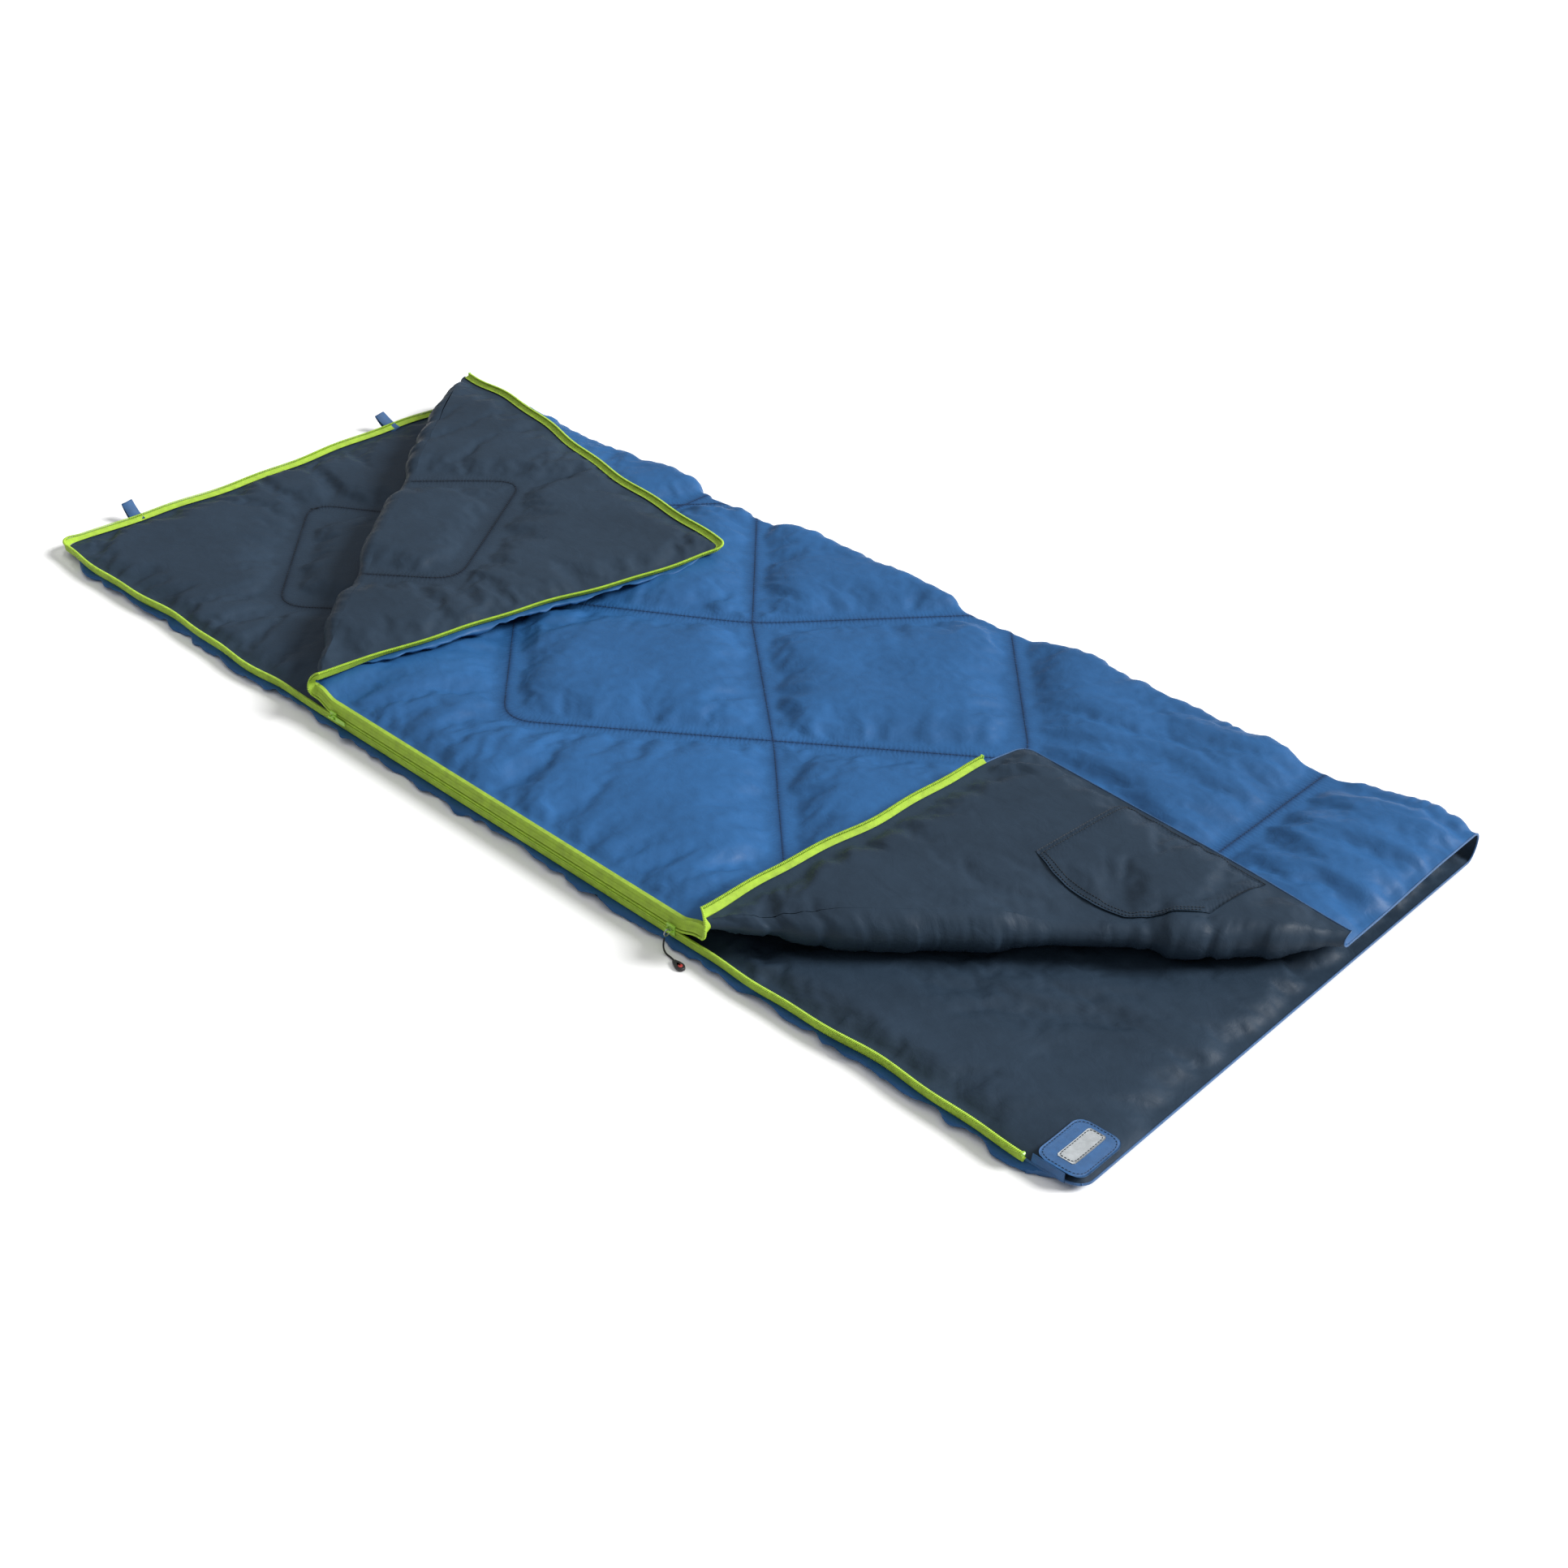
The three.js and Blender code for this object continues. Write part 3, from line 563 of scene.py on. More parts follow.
TOP_SEAMS = [loop_seam, foot_loop_seam, diagonal_seam, head_seam, foot_seam]
BOTTOM_SEAMS = [foot_loop_seam, loop_seam, diagonal_seam]
sheet_seams = [to_sheet(seam, True) for seam in TOP_SEAMS] + [to_sheet(seam, False) for seam in BOTTOM_SEAMS]


def seam_field(points):
    """The distance to the nearest seam, the nearest point on it, and how far along it that is."""
    distance = np.full(len(points), 9.0)
    nearest = points.copy()
    along = np.zeros(len(points))
    passed = 0.0
    for seam in sheet_seams:
        for a, b in zip(seam[:-1], seam[1:], strict=True):
            run = b - a
            length = np.linalg.norm(run)
            t = np.clip(((points - a) @ run) / max(length**2, 1e-12), 0, 1)
            foot = a + t[:, None] * run
            off = np.linalg.norm(points - foot, axis=1)
            closer = off < distance
            distance[closer] = off[closer]
            nearest[closer] = foot[closer]
            along[closer] = passed + t[closer] * length
            passed += length
    return distance, nearest, along


# ---- cloth simulation of the flat sheet ----

SIM_STEP = 0.008
SIM_FRAMES = 16
SIM_SEED = 3
SIM_NOISE = 0.0004
SWELL_CELLS = 7


def blurred(field, sigma):
    """A Gaussian blur of a grid, in cells."""
    reach = int(3 * sigma)
    kernel = np.exp(-0.5 * (np.arange(-reach, reach + 1) / sigma) ** 2)
    kernel /= kernel.sum()
    for axis in (0, 1):
        pad = [(reach, reach) if k == axis else (0, 0) for k in (0, 1)]
        padded = np.pad(field, pad, mode="edge")
        field = np.apply_along_axis(lambda line: np.convolve(line, kernel, "valid"), axis, padded)
    return field


def simulated_sheet():
    """Blows the flat sheet up as cloth held at its seams, and returns its relief without the large swell."""
    xs = np.arange(FOOT_X, HEAD_X + SIM_STEP / 2, SIM_STEP)
    ws = np.arange(0, SHEET_WIDTH + SIM_STEP / 2, SIM_STEP)
    x, w = np.meshgrid(xs, ws, indexing="ij")
    flat = np.stack([x, w, np.zeros_like(x)], -1).reshape(-1, 3)
    flat[:, 2] += np.random.default_rng(SIM_SEED).normal(0, SIM_NOISE, len(flat))
    sheet = new_object("quilt_simulation", flat, grid_faces(len(xs), len(ws)))
    held = seam_field(flat[:, :2])[0] < SIM_STEP * 0.56
    held |= (x.ravel() < xs[1] - 1e-6) | (x.ravel() > xs[-2] + 1e-6)
    held |= (w.ravel() < ws[1] - 1e-6) | (w.ravel() > ws[-2] + 1e-6)
    pins = sheet.vertex_groups.new(name="seams")
    pins.add(np.nonzero(held)[0].tolist(), 1.0, "ADD")
    cloth = sheet.modifiers.new("cloth", "CLOTH")
    settings = cloth.settings
    settings.quality = 4
    settings.mass = 0.2
    settings.tension_stiffness = 12
    settings.compression_stiffness = 12
    settings.shear_stiffness = 4
    settings.bending_stiffness = 0.3
    settings.vertex_group_mass = "seams"
    settings.use_pressure = True
    settings.uniform_pressure_force = 1.2
    settings.shrink_min = -0.025
    settings.effector_weights.gravity = 0
    cloth.collision_settings.use_collision = False
    cloth.point_cache.frame_start = 1
    cloth.point_cache.frame_end = SIM_FRAMES
    for step in range(1, SIM_FRAMES + 1):
        bpy.context.scene.frame_set(step)
    shaped = sheet.evaluated_get(bpy.context.evaluated_depsgraph_get()).data
    points = np.zeros(len(shaped.vertices) * 3)
    shaped.vertices.foreach_get("co", points)
    bpy.context.scene.frame_set(1)
    bpy.data.objects.remove(sheet)
    height = points.reshape(len(xs), len(ws), 3)[..., 2]
    return xs, ws, height - blurred(height, SWELL_CELLS)


RELIEF_X, RELIEF_W, RELIEF = simulated_sheet()
RELIEF_CAP = 0.008


def relief(x, w):
    """The simulated relief at sheet places, by bilinear lookup, eased to stay under its cap."""
    i = np.clip((x - RELIEF_X[0]) / SIM_STEP, 0, len(RELIEF_X) - 1.001)
    j = np.clip((w - RELIEF_W[0]) / SIM_STEP, 0, len(RELIEF_W) - 1.001)
    i0 = i.astype(int)
    j0 = j.astype(int)
    a = i - i0
    b = j - j0
    a = a * a * (3 - 2 * a) * 0.5 + a * 0.5
    b = b * b * (3 - 2 * b) * 0.5 + b * 0.5
    value = (
        RELIEF[i0, j0] * (1 - a) * (1 - b) + RELIEF[i0 + 1, j0] * a * (1 - b)
        + RELIEF[i0, j0 + 1] * (1 - a) * b + RELIEF[i0 + 1, j0 + 1] * a * b
    )
    return RELIEF_CAP * np.tanh(value / RELIEF_CAP)


# ---- thickness of the quilt ----

LOFT = HALF_LOFT * 1.05
SEAM_HALF = 0.001
EDGE_HALF = 0.0008
LEAST_HALF = 0.0006
SEAM_SPREAD = 0.014
SEAM_SHARPNESS = 0.9
EDGE_SPREAD = 0.013
LINING_SHARE = 0.78
LINING_CAP = SIDE_RADIUS - 0.0018
LINING_EASE = 0.002
TAB_CLEARING = 0.14
SHELL_RELIEF = 1.35
LINING_RELIEF = 1.4
PUCKER = 0.0012
PUCKER_SPREAD = 0.022
FOLD_REACH = 0.024
FOLD = 0.003
FOLD_SPREAD = 0.055


def ripple(along, period):
    """An uneven ripple between -1 and 1, for gathers beside stitching."""
    turn = 2 * math.pi / period
    return 0.6 * np.sin(turn * along + 2.3 * np.sin(along * 31)) + 0.4 * np.sin(turn * 0.57 * along + 1.1)


def inside_folds(x, w):
    """1 on the creases of the upper layer, fading away from them."""
    plan = np.stack([x, SIDE_Y - (w - TOP_START)], axis=1)
    near = sum(np.exp(-((crease.across(plan) / FOLD_REACH) ** 2)) for crease in (FOOT, HEAD))
    return near * (w > TOP_START)


def stitched_ripple(at_seam, along_seam, at_edge, along_edge, periods, spread):
    """Ripples that start at the seams and the edges and fade over a spread."""
    by_seam = ripple(along_seam, periods[0]) * np.exp(-at_seam / spread)
    return by_seam, ripple(along_edge, periods[1]) * np.exp(-at_edge / spread)


def half_thickness(x, w, share):
    """From the mid surface to the shell or the lining, which are told apart by their share of the relief: low
    at seams and edges, full between them. Inside a fold the shell's seams fill out."""
    at_seam, _, along = seam_field(np.stack([x, w], axis=1))
    from_end = np.minimum(x - FOOT_X, HEAD_X - x)
    from_side = np.minimum(w, SHEET_WIDTH - w)
    at_edge = np.maximum(np.minimum(from_end, from_side), 0)
    along_edge = np.where(from_end < from_side, w, x)
    filled = inside_folds(x, w) * (share == SHELL_RELIEF)
    under_tab = smooth_step((TAB_CLEARING - np.hypot(HEAD_X - x, w)) / 0.04) * (share == LINING_RELIEF)
    loose = (1 - filled) * (1 - under_tab)
    from_seam = SEAM_HALF + (LOFT - SEAM_HALF) * (1 - np.exp(-((at_seam / SEAM_SPREAD) ** SEAM_SHARPNESS)))
    from_seam = from_seam + (LOFT - from_seam) * filled
    from_edge = EDGE_HALF + (LOFT - EDGE_HALF) * (1 - np.exp(-at_edge / EDGE_SPREAD))
    gathers = stitched_ripple(at_seam, along, at_edge, along_edge + 5, (0.019, 0.024), PUCKER_SPREAD)
    folds = stitched_ripple(at_seam, along + 9, at_edge, along_edge + 2, (0.062, 0.075), FOLD_SPREAD)
    folds = folds[0] * smooth_step(at_seam / 0.03) + folds[1] * smooth_step(at_edge / 0.03)
    room = np.minimum(1, np.minimum(at_seam / 0.006, at_edge / 0.01)) * loose
    thick = from_seam * from_edge / LOFT * (LINING_SHARE if share == LINING_RELIEF else 1)
    thick = thick + FOLD * folds * loose + (relief(x, w) * share + PUCKER * sum(gathers)) * room
    if share == LINING_RELIEF:
        low = LINING_CAP - LINING_EASE
        thick = np.where(thick > low, low + LINING_EASE * np.tanh((thick - low) / LINING_EASE), thick)
    return np.maximum(thick, LEAST_HALF)


# ---- laying the sheet out ----

FLOOR_GAP = 0.0006
OPENING_LIFT = 0.013
NEAR_PUFF = 0.037
FLAP_PUFF = 0.033
PUFF_WIDTH = 0.038
PINCH = 0.009
PINCH_REACH = 0.1
FAR_PINCH = 0.006
DROOP = 0.009
SLIDER_HEAD_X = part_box("head_slider_body")[1].x
SLIDER_FOOT_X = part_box("foot_slider_body")[0].x


def wander(x, y):
    """How far the open edges stray from their straight lines, in plan."""
    unzipped = np.clip((np.abs(x - 0.08) - 0.36) / 0.1, 0, 1)
    near = 0.003 * np.sin(x * 19 + 0.7) + 0.0015 * np.sin(x * 47)
    foot = 0.0035 * np.sin(y * 13 + 2.0) + 0.002 * np.sin(y * 41) + 0.006 * np.exp(-(((y + 0.2) / 0.2) ** 2))
    dy = near * unzipped * np.exp(-np.maximum(y - NEAR_Y, 0) / 0.05)
    dx = foot * np.exp(-np.maximum(x - FOOT_X, 0) / 0.07) * np.clip((SIDE_Y - y) / 0.08, 0, 1)
    return dx, dy


def round_corner(x, y, corner_x):
    """Takes the square near corner of a layer to an arc."""
    inward = 1 if corner_x == FOOT_X else -1
    a = 1 - (x - corner_x) * inward / CORNER
    b = 1 - (y - NEAR_Y) / CORNER
    inside = (a > 0) & (b > 0)
    longest = np.where(inside, np.maximum(a, b), 1)
    onto_arc = longest / np.maximum(np.hypot(a, b), 1e-9)
    pull = 1 - (1 - onto_arc) * longest**2
    x = np.where(inside, corner_x + inward * CORNER * (1 - a * pull), x)
    y = np.where(inside, NEAR_Y + CORNER * (1 - b * pull), y)
    return x, y


def crease_lift(x, y):
    """How far the upper layer and its corners rise by the creases' ends, which makes those folds flatter."""
    lift = np.zeros_like(x)
    for place, size, share in (
        (HEAD.near, PINCH, smooth_step((x - SLIDER_HEAD_X) / 0.035)),
        (FOOT.near, PINCH, smooth_step((SLIDER_FOOT_X - x) / 0.03)),
        (HEAD.near + HEAD.run * HEAD.length, FAR_PINCH, 1.0),
        (FOOT.near + FOOT.run * FOOT.length, PINCH, 1.0),
    ):
        away = np.hypot(x - place[0], y - place[1])
        lift = lift + size * share * np.exp(-((away / PINCH_REACH) ** 2))
    return lift


def edge_puff(x, y, w):
    """How far the shell swells out past the open edges of the lower layer and of the foot corner."""
    lower = NEAR_PUFF * np.sin(np.clip(w / PUFF_WIDTH, 0, 1) * math.pi)
    upper = FLAP_PUFF * np.sin(np.clip((SHEET_WIDTH - w) / PUFF_WIDTH, 0, 1) * math.pi)
    upper = upper * smooth_step((FOOT.across(np.stack([x, y], axis=1)) - 0.01) / 0.06)
    uneven = 0.8 + 0.12 * ripple(x, 0.13) + 0.07 * ripple(x + 2, 0.041)
    return (lower + upper) * smooth_step(np.minimum(x - FOOT_X, HEAD_X - x) / 0.09) * uneven


def opening_lift(x, y, turned):
    """How far the turned side and the upper layer rise at the open head end."""
    to_crease = -HEAD.across(np.stack([x, y], axis=1))
    lift = OPENING_LIFT * smooth_step(to_crease / 0.16) * np.exp(-((np.maximum(HEAD_X - x, 0) / 0.13) ** 2))
    return lift * smooth_step(turned * 1.4) * smooth_step((x - 0.6) / 0.2)


def place_sheet(x, w, h):
    """A point of the sheet, h out towards the shell, where it lies in the closed bag."""
    y = np.where(w <= LAYER_WIDTH, NEAR_Y + w, SIDE_Y)
    y = np.where(w >= TOP_START, SIDE_Y - (w - TOP_START), y)
    turned = np.clip((w - LAYER_WIDTH) / SIDE_ARC, 0, 1)
    angle = turned * math.pi
    bulge = np.sin(angle) * (0.0025 * ripple(x + 3, 0.06) + 0.0015 * ripple(x, 0.025))
    radius = SIDE_RADIUS + h + bulge * (h > 0)
    z = SIDE_Z - radius * np.cos(angle)
    y = y + radius * np.sin(angle)
    x, y = round_corner(x, y, FOOT_X)
    x, y = round_corner(x, y, HEAD_X)
    dx, dy = wander(x, y)
    dy = dy - edge_puff(x, y, w) * (h > 0)
    droop = DROOP * smooth_step((FOOT.across(np.stack([x, y], axis=1)) - 0.06) / 0.35)
    z = z + opening_lift(x, y, turned) + (crease_lift(x, y) + droop) * (w >= TOP_START)
    return np.stack([x + dx, y + dy, np.maximum(z, FLOOR_GAP)], axis=1)


FINE = 0.0046
COARSE = 0.022
FINE_MARGIN = 0.045


def cut_grid(xs, ws, cuts):
    """A flat grid in (x, w), cut along lines, with points beside a seam moved onto it."""
    x, w = np.meshgrid(xs, ws, indexing="ij")
    points = np.stack([x, w, np.zeros_like(x)], -1).reshape(-1, 3)
    mesh = bpy.data.meshes.new("cutting")
    mesh.from_pydata(points.tolist(), [], grid_faces(len(xs), len(ws)).tolist())
    work = bmesh.new()
    work.from_mesh(mesh)
    bpy.data.meshes.remove(mesh)
    for point, normal in cuts:
        everything = work.verts[:] + work.edges[:] + work.faces[:]
        bmesh.ops.bisect_plane(
            work, geom=everything, plane_co=(*point, 0), plane_no=(*normal, 0), clear_outer=True, dist=1e-6,
        )
    work.verts.index_update()
    flat = np.array([v.co[:2] for v in work.verts])
    inner = np.array([not v.is_boundary for v in work.verts])
    faces = [[v.index for v in f.verts] for f in work.faces]
    work.free()
    distance, nearest, _ = seam_field(flat)
    snapped = inner & (distance < FINE * 0.6)
    flat[snapped] = nearest[snapped]
    return flat, faces


def steps(start, end, size):
    return np.linspace(start, end, max(2, round(abs(end - start) / size) + 1))


def crease_cut(crease, keep_corner):
    """The cut along a crease on the sheet, keeping the corner or the rest."""
    point = to_sheet(crease.near[None], True)[0]
    normal = np.array([crease.side[0], -crease.side[1]])
    return point, (-normal if keep_corner else normal)


def shell_or_lining(outward):
    """The share of the relief, the material and the slot of the outward (1) or the inward (-1) side."""
    if outward > 0:
        return SHELL_RELIEF, shell_material, "shell_cloth"
    return LINING_RELIEF, lining_material, "lining_cloth"


def add_cloth(name, sheet, points, faces, outward, body, nodes):
    """One side of a part of the quilt, with its places on the sheet for the stitching."""
    _, material, slot = shell_or_lining(outward)
    piece = new_object(name, points, faces, material)
    note_stitching(piece, sheet)
    return settle(piece, body, slot, *nodes)


def quilt_sheet(name, outward, nodes):
    """The shell or the lining of both layers and the turned side, without the folded corners."""
    lower, upper = (COARSE, FINE) if outward > 0 else (FINE, COARSE)
    bands = [
        steps(0, FINE_MARGIN, FINE)[:-1],
        steps(FINE_MARGIN, LAYER_WIDTH, lower)[:-1],
        steps(LAYER_WIDTH, TOP_START, SIDE_ARC / 12)[:-1],
        steps(TOP_START, SHEET_WIDTH, upper),
    ]
    cuts = [crease_cut(FOOT, False), crease_cut(HEAD, False)]
    flat, faces = cut_grid(steps(FOOT_X, HEAD_X, FINE), np.concatenate(bands), cuts)
    thick = half_thickness(flat[:, 0], flat[:, 1], shell_or_lining(outward)[0])
    points = place_sheet(flat[:, 0], flat[:, 1], outward * thick)
    if outward > 0:
        faces = [face[::-1] for face in faces]
    add_cloth(name, flat, points, faces, outward, "bag", nodes)


def corner_sheet(name, crease, outward, body, nodes):
    """The shell or the lining of a folded corner."""
    ends = sorted((crease.end_x, crease.near[0]))
    ws = steps(TOP_START, SHEET_WIDTH, FINE)
    flat, faces = cut_grid(steps(*ends, FINE), ws, [crease_cut(crease, True)])
    thick = half_thickness(flat[:, 0], flat[:, 1], shell_or_lining(outward)[0])
    points = crease.fold_back(place_sheet(flat[:, 0], flat[:, 1], outward * thick))
    if outward > 0:
        faces = [face[::-1] for face in faces]
    add_cloth(name, flat, points, faces, outward, body, nodes)


def crease_start(crease, reach):
    """How far along a crease its bulge starts, to end in line with the near edge."""
    return reach * -crease.side[1] / crease.run[1]


def crease_end(crease, reach):
    """How far along a crease its bulge runs, to end in line with the foot or head edge."""
    return crease.length - reach * crease.side[0] / crease.run[0]


def crease_point(crease, along, angle, radius):
    """A point of the turned quilt: angle 0 joins the upper layer, pi joins the folded corner."""
    reach = radius * np.sin(angle)
    start = crease_start(crease, reach)
    end = crease_end(crease, reach)
    at = start + along * (end - start)
    xy = crease.near + at[:, None] * crease.run + reach[:, None] * crease.side
    return np.stack([xy[:, 0], xy[:, 1], HINGE_Z - radius * np.cos(angle)], axis=1)


def bend_with(piece):
    """Bakes a piece's placement into its mesh. It does not bend the piece at the crease."""
    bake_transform(piece)


def crease_sheet(name, crease, outward, nodes):
    """The shell or the lining of the turned quilt at a crease, in its resting shape."""
    alongs = steps(0, 1, FINE / crease.length)
    angles = steps(0, math.pi, math.pi / 18)
    along, angle = np.meshgrid(alongs, angles, indexing="ij")
    along = along.ravel()
    angle = angle.ravel()
    line = crease.near + (along * crease.length)[:, None] * crease.run
    on_crease = to_sheet(line, True)
    share = shell_or_lining(outward)[0]
    thick = half_thickness(on_crease[:, 0], on_crease[:, 1], share)
    if outward < 0:
        turned = to_sheet(line + (np.sin(angle) * CREASE_RADIUS)[:, None] * crease.side, True)
        change = relief(turned[:, 0], turned[:, 1]) - relief(on_crease[:, 0], on_crease[:, 1])
        thick = thick + change * share * np.clip(np.minimum(along, 1 - along) * crease.length / 0.02, 0, 1)
    radius = CREASE_RADIUS - crease_lift(line[:, 0], line[:, 1])
    points = crease_point(crease, along, angle, radius - outward * np.maximum(thick, LEAST_HALF))
    points[:, :2] += np.stack(wander(line[:, 0], line[:, 1]), axis=1)
    faces = grid_faces(len(alongs), len(angles))
    if (crease is FOOT) == (outward > 0):
        faces = [face[::-1] for face in faces]
    piece = add_cloth(name, on_crease, points, faces, outward, None, nodes)
    bend_with(piece)


# ---- quilt pieces ----

SHELL_NODES = ["bottom_shell", "bottom_fill", "side_fold_shell", "side_fold_fill", "top_shell", "top_fill"]
LINING_NODES = ["bottom_lining", "side_fold_lining", "top_lining"]

quilt_sheet("outer_shell", 1, SHELL_NODES)
quilt_sheet("inner_lining", -1, LINING_NODES)
for crease, end in ((FOOT, "foot"), (HEAD, "head")):
    body = f"{end}_flap"
    corner_sheet(f"{body}_outer", crease, 1, body, [f"{body}_shell", f"{body}_fill"])
    corner_sheet(f"{body}_inner", crease, -1, body, [f"{body}_lining"])
    crease_sheet(f"{end}_crease_outer", crease, 1, [f"{end}_crease_shell", f"{end}_crease_fill"])
    crease_sheet(f"{end}_crease_inner", crease, -1, [f"{end}_crease_lining"])

# ---- open edges: frames along them, hems, tapes and coils ----


EDGE_STEP = 0.003


class Edge:
    """Stations along an edge of the quilt: a point reads as base + out * o + up * h, h towards the shell."""

    def __init__(self, base, out, up):
        self.base = base
        self.out = unit_vectors(out)
        self.up = unit_vectors(up)

    def at(self, o, h):
        o = np.broadcast_to(o, len(self.base))[:, None]
        h = np.broadcast_to(h, len(self.base))[:, None]
        return self.base + self.out * o + self.up * h


def layer_edge(x, w, upper):
    """An edge of a layer through these sheet places, its out direction square to it in plan."""
    base = place_sheet(x, w, np.zeros_like(x))
    along = unit_vectors(np.gradient(base, axis=0))
    up = np.zeros_like(base)
    up[:, 2] = 1 if upper else -1
    out = np.cross(along, [0, 0, 1])
    middle = np.array([(FOOT_X + HEAD_X) / 2, (NEAR_Y + SIDE_Y) / 2])
    inward = np.sum((middle - base[:, :2]) * out[:, :2], axis=1) > 0
    out[inward] *= -1
    return Edge(base, out, up)


def near_and_foot(upper, start_x, end_y):
    """Sheet places from start_x along the near edge, round the foot corner, to end_y on the foot edge."""
    near = steps(start_x, FOOT_X, EDGE_STEP)
    foot = steps(NEAR_Y, end_y, EDGE_STEP)[1:]
    x = np.concatenate([near, np.full(len(foot), FOOT_X)])
    y = np.concatenate([np.full(len(near), NEAR_Y), foot])
    w = TOP_START + SIDE_Y - y if upper else y - NEAR_Y
    return x, w


def folded(edge, crease):
    """An edge of the unfolded corner, turned to where it rests."""
    origin = np.array([*crease.near, HINGE_Z])
    out = crease.fold_back(edge.out + origin) - origin
    up = crease.fold_back(edge.up + origin) - origin
    return Edge(crease.fold_back(edge.base), out, up)


def turned_edge(crease, at_end):
    """The edge of the turned quilt at one end of a crease, from the upper layer to the folded corner."""
    angle = steps(0, math.pi, math.pi / 40)
    place = crease.near + crease.run * crease.length * at_end
    radius = CREASE_RADIUS - crease_lift(*place)
    base = crease_point(crease, np.full_like(angle, float(at_end)), angle, radius)
    base[:, :2] += np.stack(wander(*place[:, None]), axis=1)
    start = np.array([0.0, -1.0]) if not at_end else np.array([math.copysign(1, crease.end_x), 0.0])
    end = 2 * (start @ crease.run) * crease.run - start
    turn = math.acos(start @ end) * math.copysign(1, start[0] * end[1] - start[1] * end[0])
    share = smooth_step(angle / math.pi) * turn
    out = np.stack([
        start[0] * np.cos(share) - start[1] * np.sin(share),
        start[0] * np.sin(share) + start[1] * np.cos(share),
        np.zeros_like(share),
    ], axis=1)
    up = np.concatenate([-np.sin(angle)[:, None] * crease.side, np.cos(angle)[:, None]], axis=1)
    edge = Edge(base, out, up)
    edge.up *= 1 - 0.45 * np.sin(angle)[:, None]
    return edge


TAPE_FREE_EDGE = [(0.0048, -0.0096), (0.0062, -0.0094)]
TAPE_REACH = 0.0095
COIL_TURN = (0.004, 0.0026, 0.0016)
COIL_OUT = 0.0057
COIL_DOWN = -0.012
COIL_PITCH = 0.0023


def tape_sections(edge, spread, wrap, flare):
    """Sections of a zip tape. Spread 0 is the closed zip's upright tape and 1 lays its face over the lining;
    wrap 1 carries it over the edge onto the shell; flare 1 stands its sewn side out over the shell's puff."""
    reach = TAPE_REACH * spread
    lining = EDGE_HALF + (LOFT - EDGE_HALF) * (1 - np.exp(-reach / EDGE_SPREAD)) * 0.96 + 0.0006
    inner = edge.at(-reach + 0.0004 * (1 - spread), -np.where(spread > 0, lining, 0.001))
    over = edge.at(-0.003, 0.0036)
    turned = edge.at(0.0014, 0.0026)
    wrap = wrap[:, None]
    corners = [inner * (1 - wrap) + over * wrap, edge.at(-reach * 0.4, -lining - 0.0012 * spread)]
    corners += [edge.at(o, h) for o, h in TAPE_FREE_EDGE]
    corners.append(edge.at(0.0019 + 0.0035 * flare, -0.0005 - 0.0006 * flare))
    corners.append(edge.at(0.0006 + 0.0036 * flare, 0.0006) * (1 - wrap) + turned * wrap)
    return np.stack(corners, axis=1)


def add_tape(name, edge, spread, body, *nodes, wrap=0.0, flare=0.0):
    shape = [np.broadcast_to(value, len(edge.base)) for value in (spread, wrap, flare)]
    points, faces = sweep(tape_sections(edge, *shape))
    tape = new_object(name, points, faces, tape_material, smooth=False)
    return settle(tape, body, "zip_tape", *nodes)


def add_coil(name, edge, body, phase, *nodes):
    """The coil's turns: small rounded blocks leaning across the edge."""
    line = edge.at(COIL_OUT, COIL_DOWN)
    frames = np.concatenate([line, edge.out, edge.up], axis=1)
    even = spaced(frames, COIL_PITCH)
    if phase:
        even = (even[1:] + even[:-1]) / 2
    along = unit_vectors(np.gradient(even[:, :3], axis=0))
    out = unit_vectors(even[:, 3:6] + along * 0.35)
    up = unit_vectors(np.cross(along, out))
    points, faces = blocks(even[:, :3], np.stack([out, up, np.cross(out, up)], axis=1), COIL_TURN)
    return settle(new_object(name, points, faces, coil_material), body, "zip_coil", *nodes)


def add_tape_stitches(name, edge, body, rows):
    """Rows of thread along a tape, at each (o, h)."""
    paths = [edge.at(o, h) for o, h in rows]
    normals = [edge.out * 0.9 + edge.up * 0.42 for _ in rows]
    piece = stitches(name, paths, normals, thread_lime, 0.0024, 0.001, 0.0005)
    return settle(piece, body, "zip_tape")


LEANING = 0.4
UPRIGHT_ROWS = [(0.00315, -0.0031), (0.0047, -0.0066)]

x, w = near_and_foot(False, ZIP_HEAD_X, ZIP_FOOT_Y)
lower_edge = layer_edge(x, w, False)
lower_edge.up *= 1 - LEANING * smooth_step(w / 0.04)[:, None]
closed_part = (x > FOOT.near[0] + 0.02) & (x < HEAD.near[0] - 0.02) & (w < 0.001)
lower_spread = 0.5 * smooth_step((w - 0.01) / 0.06) + 0.12 * ~closed_part
lower_flare = 1 - smooth_step(w / 0.04)
add_tape("lower_zip_tape", lower_edge, lower_spread, "bag", "zip_tape_bottom", flare=lower_flare)
add_coil("lower_zip_coil", lower_edge, "bag", 0, "zip_coil_bottom")
add_tape_stitches("lower_zip_stitches", lower_edge, "bag", [(0.0056, -0.0062)])

x = steps(HEAD.near[0], FOOT.near[0], EDGE_STEP)
upper_edge = layer_edge(x, np.full_like(x, SHEET_WIDTH), True)
add_tape("upper_zip_tape", upper_edge, 0.0, "bag", "zip_tape_top", wrap=1.0)
add_coil("upper_zip_coil", upper_edge, "bag", 1, "zip_coil_top")
add_tape_stitches("upper_zip_stitches", upper_edge, "bag", UPRIGHT_ROWS)


